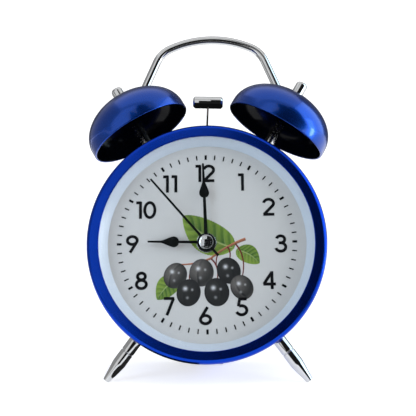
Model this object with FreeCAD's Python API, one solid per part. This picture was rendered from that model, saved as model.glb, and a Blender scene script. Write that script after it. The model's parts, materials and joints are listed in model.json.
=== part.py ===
"""Twin bell alarm clock: a round steel case on two splayed legs, leaning back on a rear pad.

Every piece is drawn in the clock's own frame, in millimetres: X to the right as the dial is
read, Y from the bezel's front towards the back cover, Z up in the plane of the dial, with the
case axis at X = Z = 0. At the end the whole clock is leaned back onto its feet.
"""
import FreeCAD, Part
import math
import os

V = FreeCAD.Vector

# How the clock stands
lean_deg = 13.0
foot_facet = 0.35

# Clearances
running_gap = 0.05
free_gap = 0.3
door_gap = 0.2
end_gap = 0.1
slot_gap = 0.1
fit_gap = 0.05

# Case drum, pressed from sheet
drum_radius = 50.6
drum_wall = 0.8
drum_front_y = 2.4
drum_rear_y = 45.0
seat_bead_width = 2.4
rear_flange_width = 6.8
drum_inner_radius = drum_radius - drum_wall

# Bezel
bezel_overhang = 1.4
bezel_face_width = 5.5
bezel_edge_width = 1.8
bezel_inner_edge = 0.4
bezel_radius = drum_radius + bezel_overhang
bezel_opening_radius = bezel_radius - bezel_face_width
bezel_crease_radius = bezel_radius - bezel_edge_width
bezel_front_y = 0.3
bezel_crease_y = 0.5
bezel_shoulder_y = 2.4
bezel_rear_y = 6.2
bezel_lip = 0.8
bezel_seat_step = 0.6

# Lens, reflector ring and dial
lens_radius = drum_inner_radius - free_gap
lens_thickness = 1.2
reflector_depth = 4.9
reflector_wall = 1.0
reflector_flange = 0.9
reflector_width = 3.2
reflector_inset = 0.1
dial_view_radius = bezel_opening_radius - reflector_width
dial_thickness = 0.5
lens_front_y = bezel_front_y + bezel_lip
lens_rear_y = lens_front_y + lens_thickness
dial_y = lens_rear_y + reflector_depth
dial_rear_y = dial_y + dial_thickness

# Back cover and its battery tray
cover_inset = 1.2
cover_radius = drum_radius - cover_inset
cover_thickness = 2.0
cover_edge = 0.8
cover_rear_y = drum_rear_y + cover_thickness
cover_screw_angles = (100.0, 180.0, 260.0)
cover_screw_radius = 1.1
cover_screw_head_radius = 2.2
cover_screw_head = 1.2
screw_reach = 1.0
cover_screw_circle = drum_inner_radius - rear_flange_width / 2
tray_inside_width = 53.0
tray_inside_height = 14.6
tray_wall = 0.8
tray_front_y = 29.5
battery_z = -24.0
battery_radius = 7.0
battery_length = 49.0
battery_nub_radius = 2.7
battery_nub_length = 1.2
contact_thickness = 0.3
contact_size = 9.0
contact_tab_width = 3.0
lead_exit_x = 20.0
door_width = 56.0
door_height = 17.6
door_thickness = 1.5
door_grips = 5
door_grip_pitch = 1.6
door_grip_width = 0.8
door_grip_depth = 0.5
door_grip_height = 8.0
door_grip_margin = 4.0

# Bells
bell_angle = 30.0
bell_y = 23.0
bell_standoff = 12.1
bell_rim_distance = drum_radius + bell_standoff
bell_radius = 24.5
bell_wall_height = 3.7
bell_rise = 16.7
bell_thickness = 1.0
bell_top_flat = 3.0
bell_seat_thickness = 1.2
post_radius = 2.4
stud_radius = 1.5
stud_length = 4.0
bell_nut_radius = 2.75
left_bell_nut_length = 5.6
right_bell_nut_length = 7.0
bell_nut_round = 1.6
inner_nut_radius = 3.0
inner_nut_height = 2.4

# Legs
leg_angle = 36.6
leg_y = 11.6
leg_radius = 2.9
leg_tip_radius = 1.5
leg_drop = 8.33
leg_tip_distance = (drum_radius + leg_drop) / math.cos(math.radians(leg_angle))
leg_taper = 8.9
leg_groove_at = 7.4
leg_groove_distance = drum_radius + leg_groove_at
leg_groove_width = 0.5
leg_groove_depth = 0.3

# Rear pad
pad_width = 12.0
pad_height_share = 0.9
pad_reach = 10.0
pad_front_y = 41.0
pad_rear_y = 46.0

# Carrying handle, a bent round rod behind the bells
handle_radius = 2.1
handle_y = 50.2
handle_rise = 61.7
handle_apex_z = drum_radius + handle_rise
handle_top_radius = 50.0
handle_top_slope = 23.5
handle_shoulder_x = 25.7
handle_bend_radius = 14.0
handle_knee_x = 37.5
handle_knee_rise = 27.4
handle_knee_z = drum_radius + handle_knee_rise
handle_foot_angle = 37.8
handle_foot_inset = 5.6
handle_foot_distance = drum_radius - handle_foot_inset
handle_crank = 12.0
eyelet_radius = 4.2
eyelet_thickness = 1.6
handle_screw_radius = 1.2
handle_screw_head_radius = 2.6
handle_screw_head = 1.4

# Hammer
hammer_pivot_x = -1.4
hammer_pivot_depth = 19.1
hammer_head_rise = 18.7
hammer_pivot_z = drum_radius - hammer_pivot_depth
hammer_head_z = drum_radius + hammer_head_rise
hammer_head_length = 14.0
hammer_head_radius = 2.8
hammer_head_socket = 9.0
hammer_head_bevel = 0.8
hammer_wire_radius = 0.45
hammer_swing = 4.5
lever_thickness = 1.0
lever_width = 4.0
lever_eye_radius = 2.6
lever_window_radius = 3.6
lever_window_rim = 1.4
lever_top = 16.5
wire_overlap = 4.0
pivot_pin_radius = 1.0
pivot_pin_head_radius = 1.8
pivot_pin_head = 0.6
slot_half_length = 3.6
slot_half_width = 1.1

# Ringer: bracket, motor and crank gear
bracket_y = 27.6
bracket_thickness = 1.2
bracket_half_width = 30.0
bracket_drop = 2.9
bracket_bottom_z = hammer_pivot_z - bracket_drop
bracket_tab_width = 10.0
bracket_tab_front_y = 18.0
crank_x = -1.05
crank_depth = 9.6
crank_z = drum_radius - crank_depth
crank_teeth = 40
motor_pinion_teeth = 10
crank_mesh_distance = 8.75
motor_bearing_deg = 100.0
crank_gear_y = 25.0
crank_gear_thickness = 1.6
crank_throw = 1.1
crank_pin_radius = 0.7
crank_pin_gap = 0.15
crank_pin_root = 0.5
crank_web = 0.3
crank_axle_end = 0.4
crank_axle_radius = 0.8
motor_radius = 7.6
motor_length = 15.0
motor_boss_radius = 2.5
motor_shaft_radius = 0.5
motor_shaft_bore_depth = 6.0
motor_edge = 1.0
motor_pinion_overhang = 0.2

# Movement housing
housing_half = 28.0
housing_wall = 1.2
housing_depth = 16.0
housing_split = 8.0
housing_front_y = dial_rear_y
housing_split_y = housing_front_y + housing_split
housing_rear_y = housing_front_y + housing_depth
bush_radius = 2.9
bush_bore = 2.1
bush_reach = 1.3
centre_nut_radius = 4.35
centre_nut_height = 1.0
corner_post_radius = 1.5
corner_post_inset = 2.2
bearing_pocket = 0.8
bearing_depth = 0.7
coil_post_radius = 1.2
coil_post_offset = 1.5

# Coaxial arbors, from the inside out, as outer radii
second_arbor_radius = 0.45
minute_pipe_radius = 0.95
hour_pipe_radius = 1.5
alarm_pipe_radius = 2.05

# Gear train: tooth counts, and the distance and bearing of each axis from the centre
second_pinion_teeth = 8
third_wheel_teeth = 60
third_pinion_teeth = 8
centre_wheel_teeth = 64
third_distance = 13.6
third_bearing = -60.0
second_wheel_teeth = 40
intermediate_pinion_teeth = 8
intermediate_wheel_teeth = 48
rotor_pinion_teeth = 8
intermediate_distance = 9.6
intermediate_bearing = 30.0
rotor_distance = 9.1
rotor_bearing = 60.0
cannon_pinion_teeth = 12
minute_wheel_teeth = 36
minute_pinion_teeth = 10
hour_wheel_teeth = 40
setting_distance = 14.4
setting_bearing = -120.0
alarm_pinion_teeth = 12
alarm_wheel_teeth = 40
alarm_distance = 15.0
alarm_bearing = 120.0
train_arbor_radius = 0.4
stem_arbor_radius = 0.6

# Depth of each wheel of the train, and the wheels' thickness
wheel_thickness = 0.8
pinion_overhang = 0.15
wheel_boss = 0.2
alarm_wheel_y = 9.4
hour_wheel_y = 10.8
minute_wheel_y = 12.4
centre_wheel_y = 14.1
bridge_y = 15.1
bridge_thickness = 0.3
third_wheel_y = 15.7
second_wheel_y = 17.2
intermediate_wheel_y = 18.7
rotor_y = 20.0
rotor_radius = 2.6
rotor_length = 2.0
stator_y = 20.6
stator_thickness = 0.8
stator_gap = 0.5
coil_drop = 5.4
coil_z = housing_half - coil_drop
coil_y = 17.0
coil_left_x = 1.0
coil_right_x = 19.0
coil_radius = 3.8
coil_core_half = 1.3
bobbin_flange = 0.8
bobbin_depth = 0.6
stator_half_width = 5.0
stator_upper = 4.5
stator_lower = 0.5

# Setting knobs
stem_radius = 1.6
stem_front_y = 19.8
stem_socket_y = 24.0
knob_radius = 6.0
knob_front_y = cover_rear_y + 0.6
knob_length = 5.0
knob_ribs = 24
knob_rib_depth = 0.35
knob_rim = 1.6
knob_recess = 0.6
knob_clearance = 0.5

# Alarm switch
switch_z = 20.5
switch_travel = 4.0
switch_neck_width = 3.0
switch_neck_height = 2.0
switch_button_width = 6.0
switch_button_height = 6.0
switch_button_thickness = 1.7
switch_carriage_width = 7.0
switch_carriage_height = 5.0
switch_carriage_thickness = 1.1
switch_body_width = 18.0
switch_body_height = 7.0
switch_body_depth = 5.0
switch_rail_width = 1.5
switch_grips = 3
switch_grip_pitch = 1.5
switch_grip_width = 0.6
switch_grip_depth = 0.5

# Hands: distances from the hub along the hand, and half widths
hand_thickness = 0.3
hub_depth = 0.45
alarm_hand_y = 5.2
hour_hand_y = 4.5
minute_hand_y = 3.85
second_hand_y = 3.2
hand_cap_radius = 3.1
hand_cap_rise = 0.55
minute_hand_length = 35.0
minute_bulb_at = 21.8
minute_bulb_half = 2.2
minute_shoulder = 2.1
minute_taper = 5.1
minute_stem_half = 0.8
minute_neck_half = 0.58
minute_tip_half = 0.45
minute_hub_radius = 3.9
hour_hand_length = 25.6
hour_bulb_at = 14.3
hour_bulb_half = 2.4
hour_shoulder = 2.3
hour_taper = 5.5
hour_stem_half = 0.68
hour_neck_half = 0.5
hour_tip_half = 0.4
hour_hub_radius = 3.9
alarm_hand_length = 17.5
alarm_stem_half = 0.35
alarm_tip_half = 0.2
alarm_taper_share = 0.75
alarm_hub_radius = 3.8
second_hand_length = 37.2
second_hand_tail = 8.0
second_stem_half = 0.55
second_tip_half = 0.42
second_hub_radius = 2.0
minute_angle = -2.3
hour_angle = -89.0
second_angle = 318.9

# Printed circuit board
board_width = 21.5
board_height = 21.5
board_side_gap = 2.5
board_bottom_gap = 2.0
board_rim = 0.8
board_right_x = housing_half - board_side_gap
board_bottom_z = board_bottom_gap - housing_half
board_y = 19.5
board_thickness = 1.0
board_post_radius = 1.2
chip_radius = 2.6
chip_height = 0.9
crystal_radius = 1.0
crystal_length = 6.0
crystal_margin = 3.0
board_post_margin = 2.0
board_post_step = 6.0

# Alarm contact leaf
leaf_thickness = 0.3
leaf_base_length = 5.0
leaf_arm_length = 7.8
leaf_rise = 2.2
leaf_z = 14.0
leaf_width = 4.0
leaf_arm_width = 2.0

# Insulated leads
lead_radius = 0.4
lead_entry_depth = 1.0
motor_lead_spread = 2.4
motor_lead_y = 33.0
motor_lead_drop = 8.0
lead_low = 0.8
lead_high = 3.6
minus_lead_route = ((-11.0, 0.4, 1.5), (0.0, 1.4, 2.4))
motor_lead_route = ((14.5, 32.0, 14.0), (20.0, 30.0, 4.0))
minus_lead_entry = (9.0, -21.0)
motor_lead_entries = ((21.1, -10.5), (23.5, -10.5))


def polar(distance, angle_deg, y=0.0):
    """A point at a clock angle: 0 is at twelve, and angles grow clockwise as the dial is read."""
    a = math.radians(angle_deg)
    return V(distance * math.sin(a), y, distance * math.cos(a))


def rod_y(point, radius, y0, y1):
    """A round bar along Y through a point of the dial plane."""
    return Part.makeCylinder(radius, y1 - y0, V(point.x, y0, point.z), V(0, 1, 0))


def ring_y(point, outer, inner, y0, y1):
    return rod_y(point, outer, y0, y1).cut(rod_y(point, inner, y0 - 1, y1 + 1))


def block(x0, x1, y0, y1, z0, z1):
    return Part.makeBox(x1 - x0, y1 - y0, z1 - z0, V(x0, y0, z0))


def turned(points):
    """A closed outline of (radius, y) points turned about the case axis."""
    corners = [V(r, y, 0) for r, y in points]
    face = Part.Face(Part.makePolygon(corners + corners[:1]))
    return face.revolve(V(0, 0, 0), V(0, 1, 0), 360)


def radial(shape, angle_deg, y):
    """Turns a shape drawn standing on the Z axis to a clock angle, at a depth."""
    turned_shape = shape.copy()
    turned_shape.rotate(V(0, 0, 0), V(0, 1, 0), angle_deg)
    turned_shape.translate(V(0, y, 0))
    return turned_shape


def column(radius, z0, z1):
    return Part.makeCylinder(radius, z1 - z0, V(0, 0, z0))


def rounded_path(points, radii):
    """Straight runs joined by tangent arcs, one radius for each inner point."""
    edges = []
    start = points[0]
    for before, corner, after, radius in zip(points, points[1:], points[2:], radii):
        back = (before - corner).normalize()
        onward = (after - corner).normalize()
        half = back.getAngle(onward) / 2
        reach = radius / math.tan(half)
        middle = corner + (back + onward).normalize() * (radius / math.sin(half) - radius)
        first = corner + back * reach
        last = corner + onward * reach
        edges.append(Part.makeLine(start, first))
        edges.append(Part.Arc(first, middle, last).toShape())
        start = last
    edges.append(Part.makeLine(start, points[-1]))
    return Part.Wire(edges)


def bent_rod(points, radii, radius):
    path = rounded_path(points, radii)
    section = Part.Wire(Part.makeCircle(radius, points[0], points[1] - points[0]))
    return path.makePipeShell([section], True, False)


def gear(centre, teeth, module, y0, y1, tooth_angle):
    """A spur gear about Y with straight flanks, and one tooth at the given clock angle."""
    pitch_radius = module * teeth / 2
    root = pitch_radius - 1.1 * module
    tip = pitch_radius + 0.8 * module
    pitch = 360.0 / teeth
    outline = []
    for i in range(teeth):
        at = tooth_angle + i * pitch
        outline.append(centre + polar(root, at - 0.27 * pitch, y0))
        outline.append(centre + polar(tip, at - 0.10 * pitch, y0))
        outline.append(centre + polar(tip, at + 0.10 * pitch, y0))
        outline.append(centre + polar(root, at + 0.27 * pitch, y0))
    return Part.Face(Part.makePolygon(outline + outline[:1])).extrude(V(0, y1 - y0, 0))


def mesh(first_centre, first_teeth, second_centre, second_teeth, wheel_y, pinion_second):
    """Two gears in mesh. The pinion is a little thicker than its wheel on both sides."""
    across = second_centre - first_centre
    module = 2 * across.Length / (first_teeth + second_teeth)
    bearing = math.degrees(math.atan2(across.x, across.z))
    wheel = (wheel_y, wheel_y + wheel_thickness)
    pinion = (wheel[0] - pinion_overhang, wheel[1] + pinion_overhang)
    first_span, second_span = (wheel, pinion) if pinion_second else (pinion, wheel)
    half_pitch = 180.0 / second_teeth
    first = gear(first_centre, first_teeth, module, *first_span, bearing)
    second = gear(second_centre, second_teeth, module, *second_span, bearing + 180 + half_pitch)
    return first, second


def case_drum():
    drum = ring_y(V(), drum_radius, drum_inner_radius, drum_front_y, drum_rear_y)
    bead_inner = drum_inner_radius - seat_bead_width
    drum = drum.fuse(ring_y(V(), drum_inner_radius, bead_inner, dial_rear_y, dial_rear_y + drum_wall))
    flange_inner = drum_inner_radius - rear_flange_width
    drum = drum.fuse(ring_y(V(), drum_inner_radius, flange_inner, drum_rear_y - drum_wall, drum_rear_y))
    stud_hole = column(stud_radius + running_gap, drum_radius / 2, 2 * drum_radius)
    flange_front = drum_rear_y - 2 * drum_wall
    for side in (-1, 1):
        drum = drum.cut(radial(stud_hole, side * bell_angle, bell_y))
        drum = drum.cut(radial(stud_hole, 180 - side * leg_angle, leg_y))
        foot = polar(handle_foot_distance, side * handle_foot_angle)
        drum = drum.cut(rod_y(foot, handle_screw_radius, flange_front, cover_rear_y))
    for angle in cover_screw_angles:
        hole = polar(cover_screw_circle, angle)
        drum = drum.cut(rod_y(hole, cover_screw_radius, flange_front, cover_rear_y))
    slot = block(-slot_half_length, slot_half_length, bell_y - slot_half_width, bell_y + slot_half_width,
                 drum_radius / 2, 2 * drum_radius)
    # The flange stands clear of the battery tray
    tray_half_w = tray_inside_width / 2 + tray_wall + free_gap
    tray_half_h = tray_inside_height / 2 + tray_wall + free_gap
    tray_space = block(-tray_half_w, tray_half_w, flange_front, cover_rear_y,
                       battery_z - tray_half_h, battery_z + tray_half_h)
    tray_space = tray_space.common(rod_y(V(), drum_inner_radius, flange_front, cover_rear_y))
    return drum.cut(slot).cut(tray_space).removeSplitter()


def front_bezel():
    inner = drum_radius + running_gap
    crease = V(bezel_crease_radius, bezel_crease_y, 0)
    shoulder = V(bezel_radius, bezel_shoulder_y, 0)
    bulge = V((bezel_crease_radius + 2.2 * bezel_radius) / 3.2,
              (2.2 * bezel_crease_y + bezel_shoulder_y) / 3.2, 0)
    front = V(bezel_opening_radius + bezel_inner_edge, bezel_front_y, 0)
    lip_rear = V(lens_radius + fit_gap, lens_front_y, 0)
    corners = [shoulder, V(bezel_radius, bezel_rear_y, 0), V(inner, bezel_rear_y, 0),
               V(inner, drum_front_y, 0),
               V(lens_radius + fit_gap, lens_front_y + bezel_seat_step, 0), lip_rear,
               V(bezel_opening_radius, lens_front_y, 0),
               V(bezel_opening_radius, bezel_front_y + bezel_inner_edge, 0),
               front, crease]
    edges = [Part.makeLine(a, b) for a, b in zip(corners, corners[1:])]
    edges.append(Part.Arc(crease, bulge, shoulder).toShape())
    return Part.Face(Part.Wire(edges)).revolve(V(0, 0, 0), V(0, 1, 0), 360)


def lens():
    return rod_y(V(), lens_radius, lens_front_y, lens_rear_y)


def reflector_ring():
    top = bezel_opening_radius + reflector_inset
    flange_y = lens_rear_y + reflector_flange
    return turned([(top, lens_rear_y), (lens_radius, lens_rear_y),
                   (lens_radius, flange_y), (top + reflector_wall, flange_y),
                   (dial_view_radius + reflector_wall, dial_y), (dial_view_radius, dial_y)])


def dial_plate():
    hole = bush_radius + running_gap
    return ring_y(V(), lens_radius, hole, dial_y, dial_rear_y)


def movement_nut():
    nut = ring_y(V(), centre_nut_radius, bush_radius, dial_y - centre_nut_height, dial_y)
    return nut


def bell(side):
    """One bell drawn upright over its rim plane, then turned to its place."""
    def cup(radius, wall, rise, bottom):
        ellipse = Part.Ellipse(V(0, 0, wall), radius, rise)
        quarter = Part.ArcOfEllipse(ellipse, 0, math.pi / 2).toShape()
        quarter.rotate(V(0, 0, wall), V(1, 0, 0), 90)
        edges = [Part.makeLine(V(0, 0, bottom), V(radius, 0, bottom)),
                 Part.makeLine(V(radius, 0, bottom), V(radius, 0, wall)), quarter,
                 Part.makeLine(V(0, 0, wall + rise), V(0, 0, bottom))]
        return Part.Face(Part.Wire(edges)).revolve(V(0, 0, 0), V(0, 0, 1), 360)
    outside = cup(bell_radius, bell_wall_height, bell_rise, 0)
    inside = cup(bell_radius - bell_thickness, bell_wall_height, bell_rise - bell_thickness, -1)
    top = bell_wall_height + bell_rise
    flat = column(bell_top_flat, top - bell_seat_thickness, top)
    shell = outside.cut(inside).fuse(flat).cut(column(stud_radius + running_gap, 0, top + 1))
    shell.translate(V(0, 0, bell_rim_distance))
    return radial(shell.removeSplitter(), side * bell_angle, bell_y)


bell_top_distance = bell_rim_distance + bell_wall_height + bell_rise


def bell_post(side):
    seat = bell_top_distance - bell_seat_thickness
    shaft = column(post_radius, drum_radius, seat)
    lower = column(stud_radius, drum_radius - stud_length, drum_radius)
    upper = column(stud_radius, seat, bell_top_distance + stud_length)
    return radial(shaft.fuse([lower, upper]).removeSplitter(), side * bell_angle, bell_y)


def bell_nut(side, length):
    nut = column(bell_nut_radius, bell_top_distance, bell_top_distance + length)
    rim = [e for e in nut.Edges if abs(e.CenterOfMass.z - bell_top_distance - length) < 0.01]
    nut = nut.makeFillet(bell_nut_round, [rim[0]])
    nut = nut.cut(column(stud_radius, bell_top_distance - 1, bell_top_distance + stud_length))
    return radial(nut, side * bell_angle, bell_y)


def inner_nut(bore_top):
    """A hexagon nut on a stud that comes through the case wall."""
    corners = [V(inner_nut_radius * math.cos(math.radians(60 * i)),
                 inner_nut_radius * math.sin(math.radians(60 * i)), bore_top - inner_nut_height)
               for i in range(7)]
    nut = Part.Face(Part.makePolygon(corners)).extrude(V(0, 0, inner_nut_height))
    return nut.cut(column(stud_radius, bore_top - inner_nut_height - 1, bore_top + 1))


bracket_tab_outer = math.sqrt(drum_inner_radius ** 2 - (bracket_tab_width / 2) ** 2) - running_gap
bracket_tab_inner = bracket_tab_outer - bracket_thickness


def post_nuts():
    nut = inner_nut(bracket_tab_inner)
    return Part.makeCompound([radial(nut, side * bell_angle, bell_y) for side in (-1, 1)])


def leg(side):
    taper_start = leg_tip_distance - leg_taper
    body = column(leg_radius, drum_radius, taper_start)
    body = body.fuse(Part.makeCone(leg_radius, leg_tip_radius, leg_taper, V(0, 0, taper_start)))
    groove = column(leg_radius + 1, leg_groove_distance, leg_groove_distance + leg_groove_width)
    groove = groove.cut(column(leg_radius - leg_groove_depth, 0, leg_tip_distance))
    stud = column(stud_radius, drum_radius - stud_length, drum_radius)
    body = body.cut(groove).fuse(stud).removeSplitter()
    return radial(body, 180 - side * leg_angle, leg_y).cut(floor_block())


def leg_nuts():
    flat = math.sqrt(drum_inner_radius ** 2 - inner_nut_radius ** 2) - running_gap
    nut = inner_nut(flat)
    return Part.makeCompound([radial(nut, 180 - side * leg_angle, leg_y) for side in (-1, 1)])


def floor_height():
    """Height of the floor plane below the case axis, once the clock is leaned back."""
    a = math.radians(leg_angle)
    lean = math.radians(lean_deg)
    lowest = leg_tip_distance * math.cos(a) + leg_tip_radius * math.sin(a)
    return -leg_y * math.sin(lean) - lowest * math.cos(lean) + foot_facet


def floor_block():
    """Everything under the floor plane, in the clock's own frame."""
    reach = 2 * leg_tip_distance
    slab = block(-reach, reach, -reach, reach, floor_height() - drum_radius, floor_height())
    slab.rotate(V(0, 0, 0), V(1, 0, 0), lean_deg)
    return slab


def rear_foot():
    pad = block(-pad_width / 2, pad_width / 2, pad_front_y, pad_rear_y,
                -drum_radius - pad_reach, -drum_radius * pad_height_share)
    pad = pad.cut(rod_y(V(), drum_radius, 0, drum_rear_y)).cut(rod_y(V(), cover_radius, 0, cover_rear_y))
    return pad.cut(floor_block())


def handle():
    slope = math.tan(math.radians(handle_top_slope))
    peak_z = handle_apex_z + handle_top_radius * (1 / math.cos(math.radians(handle_top_slope)) - 1)
    half = []
    foot = polar(handle_foot_distance, handle_foot_angle)
    knee = V(handle_knee_x, handle_y, handle_knee_z)
    along = (knee - V(foot.x, handle_y, foot.z)).normalize()
    end = V(foot.x, cover_rear_y + handle_radius, foot.z) + along * (eyelet_radius * 0.6)
    step = V(foot.x, handle_y, foot.z) + along * handle_crank
    half = [end, step, knee, V(handle_shoulder_x, handle_y, peak_z - handle_shoulder_x * slope)]
    mirrored = [V(-p.x, p.y, p.z) for p in half]
    points = half + [V(0, handle_y, peak_z)] + mirrored[::-1]
    side_radii = [handle_bend_radius] * 3
    bow = bent_rod(points, side_radii + [handle_top_radius] + side_radii, handle_radius)
    for side in (-1, 1):
        centre = polar(handle_foot_distance, side * handle_foot_angle)
        bow = bow.fuse(rod_y(centre, eyelet_radius, cover_rear_y, cover_rear_y + eyelet_thickness))
        bow = bow.fuse(Part.makeSphere(handle_radius, end if side > 0 else V(-end.x, end.y, end.z)))
        bow = bow.cut(rod_y(centre, handle_screw_radius + free_gap, drum_rear_y, 2 * handle_y))
        seat_y = cover_rear_y + eyelet_thickness
        bow = bow.cut(rod_y(centre, handle_screw_head_radius + free_gap, seat_y, 2 * handle_y))
    below_cover = block(-2 * drum_radius, 2 * drum_radius, 0, cover_rear_y, 0, 2 * drum_radius)
    return bow.cut(below_cover).removeSplitter()


def screw(point, shank_radius, head_radius, head, seat_y, reach_y):
    """A pan head screw from behind, with a cross recess."""
    shank = rod_y(point, shank_radius, reach_y, seat_y)
    cap = rod_y(point, head_radius, seat_y, seat_y + head)
    rim = [e for e in cap.Edges if abs(e.CenterOfMass.y - seat_y - head) < 0.01]
    cap = cap.makeFillet(head * 0.45, [rim[0]])
    top = seat_y + head
    arm = head_radius * 0.6
    width = head_radius * 0.12
    cross = block(point.x - arm, point.x + arm, top - head / 2, top + 1, point.z - width, point.z + width)
    cross = cross.fuse(block(point.x - width, point.x + width, top - head / 2, top + 1,
                             point.z - arm, point.z + arm))
    return shank.fuse(cap).cut(cross).removeSplitter()


def cover_screws():
    reach = drum_rear_y - drum_wall - screw_reach
    return Part.makeCompound([screw(polar(cover_screw_circle, angle), cover_screw_radius,
                                    cover_screw_head_radius, cover_screw_head, cover_rear_y, reach)
                              for angle in cover_screw_angles])


def handle_screws():
    reach = drum_rear_y - drum_wall - screw_reach
    seat = cover_rear_y + eyelet_thickness
    places = [polar(handle_foot_distance, side * handle_foot_angle) for side in (-1, 1)]
    return Part.makeCompound([screw(place, handle_screw_radius, handle_screw_head_radius, handle_screw_head,
                                    seat, reach) for place in places])


def back_cover():
    disc = rod_y(V(), cover_radius, drum_rear_y, cover_rear_y)
    rim = [e for e in disc.Edges if abs(e.CenterOfMass.y - cover_rear_y) < 0.01]
    disc = disc.makeChamfer(cover_edge, [rim[0]])
    half_w = tray_inside_width / 2
    half_h = tray_inside_height / 2
    tray = block(-half_w - tray_wall, half_w + tray_wall, tray_front_y, drum_rear_y,
                 battery_z - half_h - tray_wall, battery_z + half_h + tray_wall)
    rail_y = drum_rear_y - switch_carriage_thickness - free_gap
    cover = disc.fuse(tray)
    for side in (-1, 1):
        outer = side * switch_body_width / 2
        inner = outer - side * switch_rail_width
        rail = block(min(outer, inner), max(outer, inner), rail_y, drum_rear_y,
                     switch_z - switch_body_height / 2, switch_z + switch_body_height / 2)
        cover = cover.fuse(rail)
    cover = cover.cut(block(-half_w, half_w, tray_front_y + tray_wall, cover_rear_y + 1,
                            battery_z - half_h, battery_z + half_h))
    door_half_w = door_width / 2 + door_gap
    door_half_h = door_height / 2 + door_gap
    cover = cover.cut(block(-door_half_w, door_half_w, cover_rear_y - door_thickness, cover_rear_y + 1,
                            battery_z - door_half_h, battery_z + door_half_h))
    for axis in (setting_axis, alarm_axis):
        cover = cover.cut(rod_y(axis, stem_radius + knob_clearance, drum_rear_y - 1, cover_rear_y + 1))
    slot_half = (switch_neck_width + switch_travel) / 2 + slot_gap
    neck_half = switch_neck_height / 2 + slot_gap
    cover = cover.cut(block(-slot_half, slot_half, drum_rear_y - 1, cover_rear_y + 1,
                            switch_z - neck_half, switch_z + neck_half))
    for angle in cover_screw_angles:
        hole = polar(cover_screw_circle, angle)
        cover = cover.cut(rod_y(hole, cover_screw_radius, drum_rear_y - 1, cover_rear_y + 1))
    for side in (-1, 1):
        foot = polar(handle_foot_distance, side * handle_foot_angle)
        cover = cover.cut(rod_y(foot, handle_screw_radius, drum_rear_y - 1, cover_rear_y + 1))
        cover = cover.cut(rod_y(V(side * lead_exit_x, 0, battery_z), lead_radius + running_gap,
                                tray_front_y - 1, tray_front_y + tray_wall))
    return cover.removeSplitter()


def battery_door():
    y0 = cover_rear_y - door_thickness
    door = block(-door_width / 2, door_width / 2, y0, cover_rear_y,
                 battery_z - door_height / 2, battery_z + door_height / 2)
    for i in range(door_grips):
        x = door_width / 2 - door_grip_margin - door_grip_pitch * i
        door = door.cut(block(x - door_grip_width / 2, x + door_grip_width / 2,
                              cover_rear_y - door_grip_depth, cover_rear_y + 1,
                              battery_z - door_grip_height / 2, battery_z + door_grip_height / 2))
    return door


def battery_left_x():
    return tray_inside_width / 2 - contact_thickness - battery_nub_length - battery_length


def battery_centre_y():
    return tray_front_y + tray_wall + contact_thickness + free_gap + battery_radius


def battery():
    centre = battery_centre_y()
    left = battery_left_x()
    cell = Part.makeCylinder(battery_radius, battery_length, V(left, centre, battery_z), V(1, 0, 0))
    nub = Part.makeCylinder(battery_nub_radius, battery_nub_length,
                            V(left + battery_length, centre, battery_z), V(1, 0, 0))
    return cell.fuse(nub).removeSplitter()


def battery_contacts():
    """A flat plate for the nub, and a bowed leaf that presses on the cell's base."""
    floor_y = tray_front_y + tray_wall
    y0 = battery_centre_y() - contact_size / 2
    y1 = y0 + contact_size
    z0 = battery_z - contact_size / 2
    right = tray_inside_width / 2
    half_tab = contact_tab_width / 2
    tab_end = lead_exit_x - half_tab
    plate = block(right - contact_thickness, right, floor_y, y1, z0, z0 + contact_size)
    plate = plate.fuse(block(tab_end, right, floor_y, floor_y + contact_thickness,
                             battery_z - half_tab, battery_z + half_tab))
    left = -right
    base = block(left, left + contact_thickness, floor_y, y1, z0, z0 + contact_size)
    base = base.fuse(block(left, -tab_end, floor_y, floor_y + contact_thickness,
                           battery_z - half_tab, battery_z + half_tab))
    touch = battery_left_x()
    outline = [V(left, y0, z0), V(left + contact_thickness, y0, z0), V(touch, (y0 + y1) / 2, z0),
               V(left + contact_thickness, y1, z0), V(left, y1, z0),
               V(touch - 2 * contact_thickness, (y0 + y1) / 2, z0)]
    leaf = Part.Face(Part.makePolygon(outline + outline[:1])).extrude(V(0, 0, contact_size))
    return Part.makeCompound([plate.removeSplitter(), base.fuse(leaf).removeSplitter()])


centre_axis = V()
third_axis = polar(third_distance, third_bearing)
intermediate_axis = polar(intermediate_distance, intermediate_bearing)
rotor_axis = intermediate_axis + polar(rotor_distance, rotor_bearing)
setting_axis = polar(setting_distance, setting_bearing)
alarm_axis = polar(alarm_distance, alarm_bearing)
crank_axis = V(crank_x, 0, crank_z)
motor_axis = crank_axis + polar(crank_mesh_distance, motor_bearing_deg)
pivot_axis = V(hammer_pivot_x, 0, hammer_pivot_z)
inner_front_y = housing_front_y + housing_wall
# The board keeps a rim round the hole that the alarm knob's stem passes through
board_hole_radius = stem_radius + 2 * free_gap
board_left_x = min(board_right_x - board_width, alarm_axis.x - board_hole_radius - board_rim)
board_top_z = max(board_bottom_z + board_height, alarm_axis.z + board_hole_radius + board_rim)
inner_rear_y = housing_rear_y - housing_wall


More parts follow.
